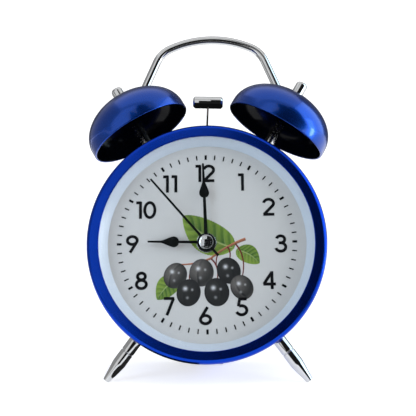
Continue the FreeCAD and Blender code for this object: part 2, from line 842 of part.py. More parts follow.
def movement_front():
    h = housing_half
    shell = block(-h, h, housing_front_y, housing_split_y, -h, h)
    inner = h - housing_wall
    shell = shell.cut(block(-inner, inner, inner_front_y, housing_split_y + 1, -inner, inner))
    bush_front_y = housing_front_y - bush_reach - dial_thickness
    shell = shell.fuse(rod_y(centre_axis, bush_radius, bush_front_y, inner_front_y))
    post_at = inner - corner_post_inset
    for x in (-post_at, post_at):
        for z in (-post_at, post_at):
            shell = shell.fuse(rod_y(V(x, 0, z), corner_post_radius, inner_front_y, bridge_y))
    shell = shell.cut(rod_y(centre_axis, bush_bore, 0, housing_split_y))
    for axis, radius in ((third_axis, train_arbor_radius), (setting_axis, stem_arbor_radius),
                         (alarm_axis, stem_arbor_radius)):
        shell = shell.cut(rod_y(axis, radius + running_gap, inner_front_y - bearing_pocket, housing_split_y))
    return shell.removeSplitter()


def train_bridge():
    inner = housing_half - housing_wall - running_gap
    plate = block(-inner, inner, bridge_y, bridge_y + bridge_thickness, -inner, inner)
    holes = ((centre_axis, second_arbor_radius), (third_axis, train_arbor_radius),
             (intermediate_axis, train_arbor_radius), (rotor_axis, train_arbor_radius),
             (setting_axis, stem_radius), (alarm_axis, stem_radius))
    for axis, radius in holes:
        plate = plate.cut(rod_y(axis, radius + running_gap, bridge_y - 1, bridge_y + 1))
    notch = block(coil_left_x - 2 * free_gap, coil_right_x + 2 * free_gap, bridge_y - 1, bridge_y + 1,
                  coil_z - coil_radius - free_gap, housing_half)
    return plate.cut(notch)


def movement_rear():
    h = housing_half
    shell = block(-h, h, housing_split_y, housing_rear_y, -h, h)
    inner = h - housing_wall
    shell = shell.cut(block(-inner, inner, housing_split_y - 1, inner_rear_y, -inner, inner))
    post_at = inner - corner_post_inset
    for x, z in ((-post_at, -post_at), (-post_at, post_at), (post_at, post_at)):
        shell = shell.fuse(rod_y(V(x, 0, z), corner_post_radius, bridge_y + bridge_thickness, inner_rear_y))
    for x, z in ((board_left_x + board_post_margin, board_bottom_z + board_post_margin),
                 (board_right_x - board_post_margin, board_bottom_z + board_post_step),
                 (board_left_x + board_post_margin, board_top_z - board_post_step)):
        shell = shell.fuse(rod_y(V(x, 0, z), board_post_radius, board_y + board_thickness, inner_rear_y))
    for x in (coil_left_x - coil_post_offset, coil_right_x + coil_post_offset):
        post_front = stator_y + stator_thickness
        shell = shell.fuse(rod_y(V(x, 0, coil_z), coil_post_radius, post_front, inner_rear_y))
    for axis, radius in ((centre_axis, second_arbor_radius), (third_axis, train_arbor_radius),
                         (intermediate_axis, train_arbor_radius), (rotor_axis, train_arbor_radius)):
        shell = shell.cut(rod_y(axis, radius + running_gap, inner_rear_y - 1, inner_rear_y + bearing_pocket))
    for axis in (setting_axis, alarm_axis):
        shell = shell.cut(rod_y(axis, stem_radius + running_gap, inner_rear_y - 1, housing_rear_y + 1))
    # The hammer's eye and its pin head stand clear of the housing's top edge
    relief_y = lever_y - end_gap - pivot_pin_head - free_gap
    shell = shell.cut(rod_y(pivot_axis, lever_eye_radius + free_gap, relief_y, housing_rear_y + 1))
    for x, z in lead_entries():
        shell = shell.cut(rod_y(V(x, 0, z), lead_radius + running_gap, inner_rear_y - 1, housing_rear_y + 1))
    return shell.removeSplitter()


def pipe(outer, inner, y0, y1):
    return ring_y(centre_axis, outer, inner, y0, y1)


second_pinion, third_wheel_blank = mesh(centre_axis, second_pinion_teeth, third_axis, third_wheel_teeth,
                                        third_wheel_y, False)
centre_wheel_blank, third_pinion = mesh(centre_axis, centre_wheel_teeth, third_axis, third_pinion_teeth,
                                        centre_wheel_y, True)
second_wheel_blank, intermediate_pinion = mesh(centre_axis, second_wheel_teeth, intermediate_axis,
                                               intermediate_pinion_teeth, second_wheel_y, True)
intermediate_blank, rotor_pinion = mesh(intermediate_axis, intermediate_wheel_teeth, rotor_axis,
                                        rotor_pinion_teeth, intermediate_wheel_y, True)
cannon_pinion, minute_wheel_blank = mesh(centre_axis, cannon_pinion_teeth, setting_axis, minute_wheel_teeth,
                                         minute_wheel_y, False)
hour_wheel_blank, minute_pinion = mesh(centre_axis, hour_wheel_teeth, setting_axis, minute_pinion_teeth,
                                       hour_wheel_y, True)
alarm_wheel_blank, alarm_pinion_blank = mesh(centre_axis, alarm_wheel_teeth, alarm_axis, alarm_pinion_teeth,
                                             alarm_wheel_y, True)


def second_wheel():
    arbor = rod_y(centre_axis, second_arbor_radius, second_hand_y, inner_rear_y + bearing_depth)
    return arbor.fuse([second_wheel_blank, second_pinion]).removeSplitter()


def centre_wheel():
    """The centre wheel with its cannon pinion, on the pipe that carries the minute hand."""
    bore = second_arbor_radius + running_gap
    body = rod_y(centre_axis, minute_pipe_radius, minute_hand_y, bridge_y - end_gap)
    body = body.fuse([centre_wheel_blank, cannon_pinion])
    return body.cut(rod_y(centre_axis, bore, 0, housing_rear_y)).removeSplitter()


def hour_wheel():
    bore = minute_pipe_radius + running_gap
    body = rod_y(centre_axis, hour_pipe_radius, hour_hand_y, hour_wheel_y + wheel_thickness + wheel_boss)
    return body.fuse(hour_wheel_blank).cut(rod_y(centre_axis, bore, 0, housing_rear_y)).removeSplitter()


def alarm_wheel():
    bore = hour_pipe_radius + running_gap
    body = rod_y(centre_axis, alarm_pipe_radius, alarm_hand_y, alarm_wheel_y + wheel_thickness + wheel_boss)
    return body.fuse(alarm_wheel_blank).cut(rod_y(centre_axis, bore, 0, housing_rear_y)).removeSplitter()


def third_wheel():
    arbor = rod_y(third_axis, train_arbor_radius, inner_front_y - bearing_depth, inner_rear_y + bearing_depth)
    return arbor.fuse([third_wheel_blank, third_pinion]).removeSplitter()


def minute_wheel():
    arbor = rod_y(setting_axis, stem_arbor_radius, inner_front_y - bearing_depth, stem_socket_y)
    return arbor.fuse([minute_wheel_blank, minute_pinion]).removeSplitter()


def alarm_pinion():
    arbor = rod_y(alarm_axis, stem_arbor_radius, inner_front_y - bearing_depth, stem_socket_y)
    return arbor.fuse(alarm_pinion_blank).removeSplitter()


def intermediate_wheel():
    arbor = rod_y(intermediate_axis, train_arbor_radius, bridge_y, inner_rear_y + bearing_depth)
    return arbor.fuse([intermediate_blank, intermediate_pinion]).removeSplitter()


def rotor():
    arbor = rod_y(rotor_axis, train_arbor_radius, bridge_y, inner_rear_y + bearing_depth)
    magnet = rod_y(rotor_axis, rotor_radius, rotor_y, rotor_y + rotor_length)
    return arbor.fuse([rotor_pinion, magnet]).removeSplitter()


def stator():
    """Two pole plates round the rotor, joined by the core that passes through the coil."""
    y1 = stator_y + stator_thickness
    c = coil_core_half
    left = coil_left_x - coil_post_offset
    right = coil_right_x + coil_post_offset
    low = rotor_axis.z + stator_lower
    high = rotor_axis.z + stator_upper
    plate = block(rotor_axis.x - stator_half_width, rotor_axis.x + stator_half_width, stator_y, y1,
                  rotor_axis.z - stator_half_width, high)
    plate = plate.fuse(block(left - c, rotor_axis.x, stator_y, y1, low, high))
    for x in (left, right):
        plate = plate.fuse(block(x - c, x + c, stator_y, y1, low, coil_z + c))
        plate = plate.fuse(block(x - c, x + c, coil_y - c, y1, coil_z - c, coil_z + c))
    plate = plate.fuse(block(rotor_axis.x, right + c, stator_y, y1, low, high))
    plate = plate.fuse(block(left - c, right + c, coil_y - c, coil_y + c, coil_z - c, coil_z + c))
    return plate.cut(rod_y(rotor_axis, rotor_radius + stator_gap, stator_y - 1, y1 + 1)).removeSplitter()


def coil():
    x0 = coil_left_x + running_gap
    x1 = coil_right_x - running_gap
    winding = Part.makeCylinder(coil_radius - bobbin_depth, x1 - x0, V(x0, coil_y, coil_z), V(1, 0, 0))
    for x in (x0, x1 - bobbin_flange):
        flange = Part.makeCylinder(coil_radius, bobbin_flange, V(x, coil_y, coil_z), V(1, 0, 0))
        winding = winding.fuse(flange)
    c = coil_core_half + running_gap
    core = block(x0 - 1, x1 + 1, coil_y - c, coil_y + c, coil_z - c, coil_z + c)
    return winding.cut(core).removeSplitter()


def circuit_board():
    """The board with its chip and its crystal can on the front face."""
    board = block(board_left_x, board_right_x, board_y, board_y + board_thickness,
                  board_bottom_z, board_top_z)
    middle = V((board_left_x + board_right_x) / 2, 0, (board_bottom_z + board_top_z) / 2)
    chip = rod_y(middle, chip_radius, board_y - chip_height, board_y)
    crystal_at = V(board_left_x + crystal_margin, board_y - 0.9 * crystal_radius,
                   board_bottom_z + crystal_margin)
    crystal = Part.makeCylinder(crystal_radius, crystal_length, crystal_at, V(1, 0, 0))
    board = board.fuse([chip, crystal])
    hole = rod_y(alarm_axis, board_hole_radius, board_y - 1, board_y + board_thickness + 1)
    return board.cut(hole).removeSplitter()


def alarm_contact():
    """A leaf on the front wall of the housing that the alarm wheel lets spring forward."""
    wall_x = housing_wall - housing_half
    bend_x = wall_x + leaf_base_length
    z0 = leaf_z - leaf_width / 2
    z1 = leaf_z + leaf_width / 2
    top = inner_front_y + leaf_rise
    base = block(wall_x, bend_x, inner_front_y, inner_front_y + leaf_thickness, z0, z1)
    riser = block(bend_x - leaf_thickness, bend_x, inner_front_y, top, z0, z1)
    arm = block(bend_x - leaf_thickness, bend_x - leaf_thickness + leaf_arm_length, top - leaf_thickness, top,
                leaf_z - leaf_arm_width / 2, leaf_z + leaf_arm_width / 2)
    return base.fuse([riser, arm]).removeSplitter()


def knob(axis):
    """A ribbed setting knob moulded in one with its long stem."""
    y0 = knob_front_y
    y1 = y0 + knob_length
    outline = []
    for i in range(2 * knob_ribs):
        depth = knob_rib_depth * (i % 2)
        outline.append(axis + polar(knob_radius - depth, i * 180.0 / knob_ribs, y0))
    grip = Part.Face(Part.makePolygon(outline + outline[:1])).extrude(V(0, y1 - y0, 0))
    recess = rod_y(axis, knob_radius - knob_rim, y1 - knob_recess, y1 + 1)
    stem = rod_y(axis, stem_radius, stem_front_y, y0 + 1)
    socket = rod_y(axis, stem_arbor_radius, stem_front_y - 1, stem_socket_y)
    return grip.fuse(stem).cut(recess).cut(socket).removeSplitter()


def hand_outline(points, bulb=None):
    """A flat hand along +Z from mirrored half widths, with a rounded bulb where one is given."""
    right = [V(w, 0, r) for w, r in points]
    edges = []
    for i, (a, b) in enumerate(zip(right, right[1:])):
        if bulb and i == bulb[0]:
            edges.append(Part.Arc(a, V(bulb[1], 0, bulb[2]), b).toShape())
        elif bulb and i == bulb[0] + 1:
            edges.append(Part.Arc(a, V(bulb[3], 0, bulb[4]), b).toShape())
        else:
            edges.append(Part.makeLine(a, b))
    left = [e.mirror(V(0, 0, 0), V(1, 0, 0)) for e in edges]
    tip = Part.makeLine(right[-1], V(-right[-1].x, 0, right[-1].z))
    base = Part.makeLine(right[0], V(-right[0].x, 0, right[0].z))
    wire = Part.Wire(Part.__sortEdges__(edges + [tip] + left + [base]))
    return Part.Face(wire).extrude(V(0, hand_thickness, 0))


def placed_hand(blade, y, angle, hub_radius, bore):
    blade.translate(V(0, y, 0))
    blade.rotate(V(0, 0, 0), V(0, 1, 0), angle)
    hub = rod_y(centre_axis, hub_radius, y, y + hub_depth)
    return blade.fuse(hub).cut(rod_y(centre_axis, bore, y - 1, y + 2)).removeSplitter()


def spade_hand(stem, inner_end, bulb_half, bulb_at, neck_half, taper_end, tip_half, tip):
    points = [(stem, 0), (stem * 0.8, inner_end), (bulb_half, bulb_at), (neck_half, taper_end),
              (tip_half, tip)]
    shoulder = (bulb_half * 0.82, (inner_end + bulb_at) / 2 - (bulb_at - inner_end) * 0.14)
    waist = (neck_half + (bulb_half - neck_half) * 0.33, (bulb_at + taper_end) / 2)
    return hand_outline(points, (1, shoulder[0], shoulder[1], waist[0], waist[1]))


def minute_hand():
    blade = spade_hand(minute_stem_half, minute_bulb_at - minute_shoulder, minute_bulb_half, minute_bulb_at,
                       minute_neck_half, minute_bulb_at + minute_taper, minute_tip_half, minute_hand_length)
    return placed_hand(blade, minute_hand_y, minute_angle, minute_hub_radius, minute_pipe_radius)


def hour_hand():
    blade = spade_hand(hour_stem_half, hour_bulb_at - hour_shoulder, hour_bulb_half, hour_bulb_at,
                       hour_neck_half, hour_bulb_at + hour_taper, hour_tip_half, hour_hand_length)
    return placed_hand(blade, hour_hand_y, hour_angle, hour_hub_radius, hour_pipe_radius)


def alarm_hand():
    """A short plain hand. It lies under the hour hand, where the photograph can't show it."""
    taper_start = alarm_hand_length * alarm_taper_share
    blade = hand_outline([(alarm_stem_half, 0), (alarm_stem_half, taper_start),
                          (alarm_tip_half, alarm_hand_length)])
    return placed_hand(blade, alarm_hand_y, hour_angle, alarm_hub_radius, alarm_pipe_radius)


def second_hand():
    blade = hand_outline([(second_stem_half, -second_hand_tail), (second_stem_half, 0),
                          (second_tip_half, second_hand_length)])
    return placed_hand(blade, second_hand_y, second_angle, second_hub_radius, second_arbor_radius)


def hand_cap():
    """The polished domed cap in front of the second hand's hub."""
    sphere_radius = (hand_cap_radius ** 2 + hand_cap_rise ** 2) / (2 * hand_cap_rise)
    front = second_hand_y - hand_cap_rise
    ball = Part.makeSphere(sphere_radius, V(0, front + sphere_radius, 0))
    dome = ball.common(rod_y(centre_axis, hand_cap_radius + 1, front - 1, second_hand_y))
    return dome


def in_hammer_frame(shape):
    """From a frame with the pivot at the origin and the wire along +Z to the hammer's rest place."""
    placed = shape.copy()
    rest = math.degrees(math.atan2(-hammer_pivot_x, hammer_head_z - hammer_pivot_z))
    placed.rotate(V(0, 0, 0), V(0, 1, 0), rest)
    placed.translate(pivot_axis)
    return placed


hammer_arm = math.hypot(hammer_pivot_x, hammer_head_z - hammer_pivot_z)
lever_y = bell_y + hammer_wire_radius
window_z = math.hypot(crank_x - hammer_pivot_x, crank_z - hammer_pivot_z)


def hammer_lever():
    y0 = lever_y
    y1 = lever_y + lever_thickness
    lever = block(-lever_width / 2, lever_width / 2, y0, y1, 0, lever_top)
    window = V(0, 0, window_z)
    lever = lever.fuse(rod_y(V(), lever_eye_radius, y0, y1))
    lever = lever.fuse(rod_y(window, lever_window_radius + lever_window_rim, y0, y1))
    lever = lever.cut(rod_y(window, lever_window_radius, y0 - 1, y1 + 1))
    lever = lever.cut(rod_y(V(), pivot_pin_radius + running_gap, y0 - 1, y1 + 1))
    return in_hammer_frame(lever.removeSplitter())


def hammer_rod():
    wire = Part.makeCylinder(hammer_wire_radius, hammer_arm - lever_top + wire_overlap,
                             V(0, bell_y, lever_top - wire_overlap))
    return in_hammer_frame(wire)


def hammer_head():
    half = hammer_head_length / 2
    head = Part.makeCylinder(hammer_head_radius, hammer_head_length,
                             V(-half, bell_y, hammer_arm), V(1, 0, 0))
    rims = [e for e in head.Edges if abs(abs(e.CenterOfMass.x) - half) < 0.01]
    head = head.makeChamfer(hammer_head_bevel, rims)
    socket = column_at_bell(hammer_wire_radius, hammer_arm - hammer_head_socket, hammer_arm)
    return in_hammer_frame(head.cut(socket))


def column_at_bell(radius, z0, z1):
    return Part.makeCylinder(radius, z1 - z0, V(0, bell_y, z0))


def hammer_pivot_pin():
    lever_rear = lever_y + lever_thickness
    head_front = lever_y - end_gap - pivot_pin_head
    pin = rod_y(pivot_axis, pivot_pin_radius, head_front, bracket_y + bracket_thickness)
    head = rod_y(pivot_axis, pivot_pin_head_radius, head_front, lever_y - end_gap)
    collar = rod_y(pivot_axis, pivot_pin_head_radius, lever_rear + end_gap, bracket_y)
    return pin.fuse([head, collar]).removeSplitter()


def ringer_bracket():
    """A plate across the top of the case, held by the studs of both bell posts."""
    y1 = bracket_y + bracket_thickness
    plate = rod_y(V(), bracket_tab_outer - free_gap, bracket_y, y1)
    plate = plate.common(block(-bracket_half_width, bracket_half_width, bracket_y, y1,
                               bracket_bottom_z, 2 * drum_radius))
    half = bracket_tab_width / 2
    for side in (-1, 1):
        tab = block(-half, half, bracket_tab_front_y, y1, bracket_tab_inner, bracket_tab_outer)
        tab = tab.cut(column_at_bell(stud_radius + running_gap, drum_radius / 2, 2 * drum_radius))
        tab.rotate(V(0, 0, 0), V(0, 1, 0), side * bell_angle)
        plate = plate.fuse(tab)
    plate = plate.cut(rod_y(pivot_axis, pivot_pin_radius, bracket_y - 1, y1 + 1))
    plate = plate.cut(rod_y(crank_axis, crank_axle_radius, bracket_y - 1, y1 + 1))
    plate = plate.cut(rod_y(motor_axis, motor_boss_radius + running_gap, bracket_y - 1, y1 + 1))
    return plate.removeSplitter()


def crank_axle():
    pin = rod_y(crank_axis, crank_axle_radius, crank_gear_y + crank_axle_end, bracket_y + bracket_thickness)
    collar_front = crank_gear_y + crank_gear_thickness + end_gap
    collar = rod_y(crank_axis, 2 * crank_axle_radius, collar_front, bracket_y)
    return pin.fuse(collar).removeSplitter()


def crank_gears():
    """The crank gear and the motor's pinion, in mesh."""
    module = 2 * crank_mesh_distance / (crank_teeth + motor_pinion_teeth)
    y1 = crank_gear_y + crank_gear_thickness
    wheel = gear(crank_axis, crank_teeth, module, crank_gear_y, y1, motor_bearing_deg)
    phase = motor_bearing_deg + 180 + 180.0 / motor_pinion_teeth
    pinion = gear(motor_axis, motor_pinion_teeth, module, crank_gear_y - motor_pinion_overhang,
                  y1 + motor_pinion_overhang, phase)
    return wheel, pinion


def crank_gear():
    wheel = crank_gears()[0]
    pin_axis = crank_axis + V(crank_throw, 0, 0)
    wheel = wheel.fuse(rod_y(pin_axis, crank_pin_radius, lever_y + crank_pin_gap,
                             crank_gear_y + crank_pin_root))
    bore = rod_y(crank_axis, crank_axle_radius + running_gap, crank_gear_y + crank_web, bracket_y)
    return wheel.cut(bore).removeSplitter()


motor_front_y = bracket_y + bracket_thickness


def motor_pinion():
    pinion = crank_gears()[1]
    shaft = rod_y(motor_axis, motor_shaft_radius, crank_gear_y - motor_pinion_overhang,
                  motor_front_y + motor_shaft_bore_depth - free_gap)
    return pinion.fuse(shaft).removeSplitter()


def ringer_motor():
    rear_y = motor_front_y + motor_length
    can = rod_y(motor_axis, motor_radius, motor_front_y, rear_y)
    rims = [e for e in can.Edges if abs(e.CenterOfMass.y - motor_front_y) < 0.01]
    can = can.makeFillet(motor_edge, [rims[0]])
    boss = rod_y(motor_axis, motor_boss_radius, bracket_y, motor_front_y)
    bore = rod_y(motor_axis, motor_shaft_radius + running_gap, bracket_y - 1,
                 motor_front_y + motor_shaft_bore_depth)
    can = can.fuse(boss).cut(bore)
    for start in motor_lead_starts():
        can = can.cut(Part.makeCylinder(lead_radius, 2 * lead_entry_depth, start, V(0, 0, -1)))
    return can.removeSplitter()


def switch_button():
    """The slide button of the alarm switch, at the end of its slot that means off."""
    x = -switch_travel / 2
    carriage_rear = drum_rear_y - free_gap / 2
    carriage = block(x - switch_carriage_width / 2, x + switch_carriage_width / 2,
                     carriage_rear - switch_carriage_thickness, carriage_rear,
                     switch_z - switch_carriage_height / 2, switch_z + switch_carriage_height / 2)
    top = cover_rear_y + free_gap
    neck = block(x - switch_neck_width / 2, x + switch_neck_width / 2, carriage_rear, top,
                 switch_z - switch_neck_height / 2, switch_z + switch_neck_height / 2)
    button_top = top + switch_button_thickness
    button = block(x - switch_button_width / 2, x + switch_button_width / 2, top, button_top,
                   switch_z - switch_button_height / 2, switch_z + switch_button_height / 2)
    for i in range(switch_grips):
        rib = x + switch_grip_pitch * (i - (switch_grips - 1) / 2)
        button = button.cut(block(rib - switch_grip_width / 2, rib + switch_grip_width / 2,
                                  button_top - switch_grip_depth, button_top + switch_button_thickness,
                                  switch_z - switch_button_height, switch_z + switch_button_height))
    return carriage.fuse([neck, button]).removeSplitter()


def switch_body():
    rear = drum_rear_y - switch_carriage_thickness - free_gap
    return block(-switch_body_width / 2, switch_body_width / 2, rear - switch_body_depth, rear,
                 switch_z - switch_body_height / 2, switch_z + switch_body_height / 2)


def motor_lead_starts():
    """The inner ends of the motor's two leads, just inside the bottom of its can."""
    drop = math.sqrt(motor_radius ** 2 - (motor_lead_spread / 2) ** 2) - lead_entry_depth
    return [V(motor_axis.x + side * motor_lead_spread / 2, motor_lead_y, motor_axis.z - drop)
            for side in (-1, 1)]


def lead_entries():
    """Where the leads pass through the rear wall of the movement: plus, minus, then the motor's."""
    return [(lead_exit_x, battery_z), minus_lead_entry, *motor_lead_entries]


def lead(points):
    """An insulated lead, with each bend as easy as its two runs allow."""
    radii = []
    for before, corner, after in zip(points, points[1:], points[2:]):
        shorter = min((corner - before).Length, (after - corner).Length)
        half_turn = (corner - before).getAngle(after - corner) / 2
        radii.append(0.45 * shorter / math.tan(half_turn))
    print("lead bends", [round(r, 1) for r in radii])
    return bent_rod(points, radii, lead_radius)


def lead_wires():
    """Two leads from the battery contacts and two from the ringer motor to the circuit board."""
    board_rear = board_y + board_thickness
    inside = tray_front_y + tray_wall
    low = housing_rear_y + lead_low
    high = housing_rear_y + lead_high
    entries = lead_entries()
    plus_x, plus_z = entries[0]
    minus_x, minus_z = entries[1]
    plus = rod_y(V(plus_x, 0, plus_z), lead_radius, board_rear, inside)
    minus_run = [V(x, low + back, battery_z + up) for x, back, up in minus_lead_route]
    minus = lead([V(-lead_exit_x, inside, battery_z), V(-lead_exit_x, low, battery_z), *minus_run,
                  V(minus_x, high, minus_z), V(minus_x, board_rear, minus_z)])
    leads = [plus, minus]
    for start, (x, z) in zip(motor_lead_starts(), entries[2:]):
        shift = V(x - entries[3][0], 0, 0)
        run = [V(*point) + shift for point in motor_lead_route]
        leads.append(lead([start, start + V(0, 0, -motor_lead_drop), *run,
                           V(x, high, z), V(x, board_rear, z)]))
    return Part.makeCompound(leads)


pieces = {
    "case_drum": case_drum(),
    "front_bezel": front_bezel(),
    "lens": lens(),
    "reflector_ring": reflector_ring(),
    "dial_plate": dial_plate(),
    "back_cover": back_cover(),
    "battery_door": battery_door(),
    "battery": battery(),
    "battery_contacts": battery_contacts(),
    "cover_screws": cover_screws(),
    "rear_foot": rear_foot(),
    "left_leg": leg(-1),
    "right_leg": leg(1),
    "leg_nuts": leg_nuts(),
    "left_bell": bell(-1),
    "right_bell": bell(1),
    "left_bell_post": bell_post(-1),
    "right_bell_post": bell_post(1),
    "left_bell_nut": bell_nut(-1, left_bell_nut_length),
    "right_bell_nut": bell_nut(1, right_bell_nut_length),
    "post_nuts": post_nuts(),
    "handle": handle(),
    "handle_screws": handle_screws(),
    "ringer_bracket": ringer_bracket(),
    "ringer_motor": ringer_motor(),
    "motor_pinion": motor_pinion(),
    "crank_gear": crank_gear(),
    "crank_axle": crank_axle(),
    "hammer_pivot_pin": hammer_pivot_pin(),
    "hammer_lever": hammer_lever(),
    "hammer_rod": hammer_rod(),
    "hammer_head": hammer_head(),
    "movement_front": movement_front(),
    "train_bridge": train_bridge(),
    "movement_rear": movement_rear(),
    "movement_nut": movement_nut(),
    "second_hand": second_hand(),
    "hand_cap": hand_cap(),
    "second_wheel": second_wheel(),
    "minute_hand": minute_hand(),
    "centre_wheel": centre_wheel(),
    "hour_hand": hour_hand(),
    "hour_wheel": hour_wheel(),
    "alarm_hand": alarm_hand(),
    "alarm_wheel": alarm_wheel(),
    "third_wheel": third_wheel(),
    "minute_wheel": minute_wheel(),
    "intermediate_wheel": intermediate_wheel(),
    "rotor": rotor(),
    "stator": stator(),
    "coil": coil(),
    "circuit_board": circuit_board(),
    "alarm_contact": alarm_contact(),
    "alarm_pinion": alarm_pinion(),
    "time_set_knob": knob(setting_axis),
    "alarm_set_knob": knob(alarm_axis),
    "alarm_switch": switch_button(),
    "switch_body": switch_body(),
    "lead_wires": lead_wires(),
}


def stand(shapes):
    """Leans every piece back onto the floor, with the origin under the middle of the clock."""
    for shape in shapes.values():
        shape.rotate(V(0, 0, 0), V(1, 0, 0), -lean_deg)
    box = Part.makeCompound(list(shapes.values())).optimalBoundingBox(False, False)
    shift = V(-(box.XMin + box.XMax) / 2, -(box.YMin + box.YMax) / 2, -floor_height())
    for shape in shapes.values():
        shape.translate(shift)
    return shift


shift = stand(pieces)
os.makedirs("parts", exist_ok=True)
for name, shape in pieces.items():
    shape.exportStep("parts/" + name + ".step")
    solids = shape.Solids
    if not shape.isValid() or not solids:
        print("check", name, shape.isValid(), len(solids))
print(len(pieces), "nodes, origin shifted by", [round(c, 3) for c in shift])
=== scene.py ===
import bpy
import bmesh
import json
import math
from mathutils import Matrix, Vector


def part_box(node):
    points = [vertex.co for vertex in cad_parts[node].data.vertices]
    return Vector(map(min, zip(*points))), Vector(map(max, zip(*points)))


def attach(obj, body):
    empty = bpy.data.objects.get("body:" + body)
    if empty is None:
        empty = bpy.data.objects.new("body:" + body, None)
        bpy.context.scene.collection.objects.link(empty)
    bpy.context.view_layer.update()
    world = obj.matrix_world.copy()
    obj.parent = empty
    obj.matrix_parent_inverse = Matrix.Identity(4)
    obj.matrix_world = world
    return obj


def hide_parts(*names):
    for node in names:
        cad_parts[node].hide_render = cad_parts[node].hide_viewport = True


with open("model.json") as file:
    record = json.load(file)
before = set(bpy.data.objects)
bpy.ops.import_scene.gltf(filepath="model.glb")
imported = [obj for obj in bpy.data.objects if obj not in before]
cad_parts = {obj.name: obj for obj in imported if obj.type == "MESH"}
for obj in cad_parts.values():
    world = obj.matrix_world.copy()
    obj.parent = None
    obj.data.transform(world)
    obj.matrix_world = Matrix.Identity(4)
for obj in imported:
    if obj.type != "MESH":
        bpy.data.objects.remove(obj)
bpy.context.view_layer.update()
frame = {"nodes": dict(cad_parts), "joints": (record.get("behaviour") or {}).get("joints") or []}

NODES = frame["nodes"]

# The clock's own frame, in millimetres: X right, Y from the bezel to the back, Z up the dial.
# The second hand's joint stands on its Y axis, so many metres behind its zero
JOINT_DEPTH = 0.020
BACK = Vector(frame["joints"][0]["axis"]).normalized()
RIGHT = Vector((1, 0, 0))
UP = RIGHT.cross(BACK)
CENTRE = Vector(frame["joints"][0]["pos_m"]) - BACK * JOINT_DEPTH
CLOCK = Matrix.Translation(CENTRE) @ Matrix((RIGHT, BACK, UP)).transposed().to_4x4() @ Matrix.Scale(0.001, 4)

# Places on the clock. Angles are clock angles, from twelve and growing as the hands go
BELL_ANGLE = 30.0
BELL_Y = 23.0
LEG_ANGLE = 36.6
LEG_Y = 11.6
DIAL_Y = 7.2
COVER_Y = 47.0
MINUTE_ANGLE = -2.3
HOUR_ANGLE = -89.0
SECOND_ANGLE = 318.9

# Outlines that are turned about an axis: distance from it, place along it, and how far a corner is eased
BEZEL_OUTLINE = [(46.5, 1.1), (46.5, 0.3, 0.35), (50.2, 0.45, 0.25), (51.45, 1.05, 0.6), (52.0, 2.5, 0.6),
                 (52.0, 6.2, 0.3), (50.65, 6.2), (50.65, 2.1), (49.4, 1.1)]
REFLECTOR_OUTLINE = [(46.6, 2.3), (49.6, 2.3), (49.6, 3.2), (47.6, 3.2), (44.3, 7.2), (43.3, 7.2, 0.25)]
LENS_OUTLINE = [(0, 1.1), (49.2, 1.1, 0.1), (49.2, 2.3, 0.1), (0, 2.3)]
POST_OUTLINE = [(0, 46.6), (1.5, 46.6), (1.5, 50.6), (2.4, 50.6), (2.4, 81.88, 0.15), (0, 81.88)]
LEG_OUTLINE = [(0, 46.6), (1.5, 46.6), (1.5, 50.6), (2.9, 50.6), (2.9, 58.0, 0.12), (2.6, 58.0, 0.1),
               (2.6, 58.5, 0.1), (2.9, 58.5, 0.12), (2.9, 64.5, 0.7), (1.5, 73.4, 0.3), (0, 73.4)]
CENTRE_RING_OUTLINE = [(2.9, 6.2), (4.35, 6.2, 0.2), (4.35, 7.2), (2.9, 7.2)]

# Bells, measured out from the clock's middle
BELL_RIM = 62.7
BELL_WALL = 3.7
BELL_RISE = 16.7
BELL_RADIUS = 24.5
BELL_THICKNESS = 1.0
BELL_CROWN = 3.0
BELL_CROWN_THICKNESS = 1.2
BELL_STEPS = 28
POST_BORE = 1.55
NUT_RADIUS = 2.75
NUT_EASE = 1.6
NUT_HEIGHTS = {"left": 5.6, "right": 7.0}

# Dial print
NUMERAL_HEIGHT = 7.7
NUMERAL_WIDTH = 9.6
NUMERAL_STROKE = 1.3
NUMERAL_STEPS = 28
NUMERAL_GAP = 0.03
NUMERAL_LAYER = 0.003
PRINT_LIFT = 0.09
SPRIG_LIFT = 0.015
SPRIG_LAYER = 0.004
PRINT_TURN = -0.5
TICK_OUTER = 39.4
TICK_LENGTH = 2.1
HOUR_TICK_WIDTH = 1.0
MINUTE_TICK_WIDTH = 0.55
# Where each numeral's middle stands on the dial, right and up of the centre
NUMERAL_PLACES = {1: (15.3, 26.8), 2: (27.5, 15.5), 3: (32.4, -0.8), 4: (26.9, -16.65),
                  5: (14.95, -27.9), 6: (-0.8, -31.5), 7: (-16.4, -27.25), 8: (-28.5, -16.1),
                  9: (-32.6, 0.0), 10: (-26.8, 15.05), 11: (-16.1, 26.6), 12: (-0.5, 31.1)}

# Hands, each with the depth of its front face
ALARM_HAND_Y = 5.2
HOUR_HAND_Y = 4.5
MINUTE_HAND_Y = 3.85
SECOND_HAND_Y = 3.2
HAND_THICKNESS = 0.3
HAND_EDGE = 0.06
HUB_BORE = 0.3
HUB_HEIGHT = 0.45
CAP_RADIUS = 3.1
CAP_RISE = 0.55

# Marks on the back, laid out as they are seen from behind and mirrored on to the cover
TIME_KNOB = (12.47, -7.2)
ALARM_KNOB = (-12.99, -7.5)
SWITCH_HEIGHT = 20.5
CELL_HEIGHT = -24.0
WORD_HEIGHT = 2.2
LETTER_PITCH = 0.92
ARROW_RADIUS = 8.3
MARK_WIDTH = 0.36
MARK_THICKNESS = 0.12
MARK_LIFT = 0.1
MARK_LAYER = 0.004

# Finish of the CAD nodes
WELD_DISTANCE = 0.000005
BEVEL_ANGLE = math.radians(32)

# Studio, in metres
SWEEP_HALF_WIDTH = 3.0
SWEEP_FRONT = -2.5
SWEEP_BACK = 0.9
SWEEP_BEND = 0.6
SWEEP_TOP = 2.6
SWEEP_GLOW = 0.66
WORLD_STRENGTH = 0.46
MIDDLE = (0, 0, 0.08)

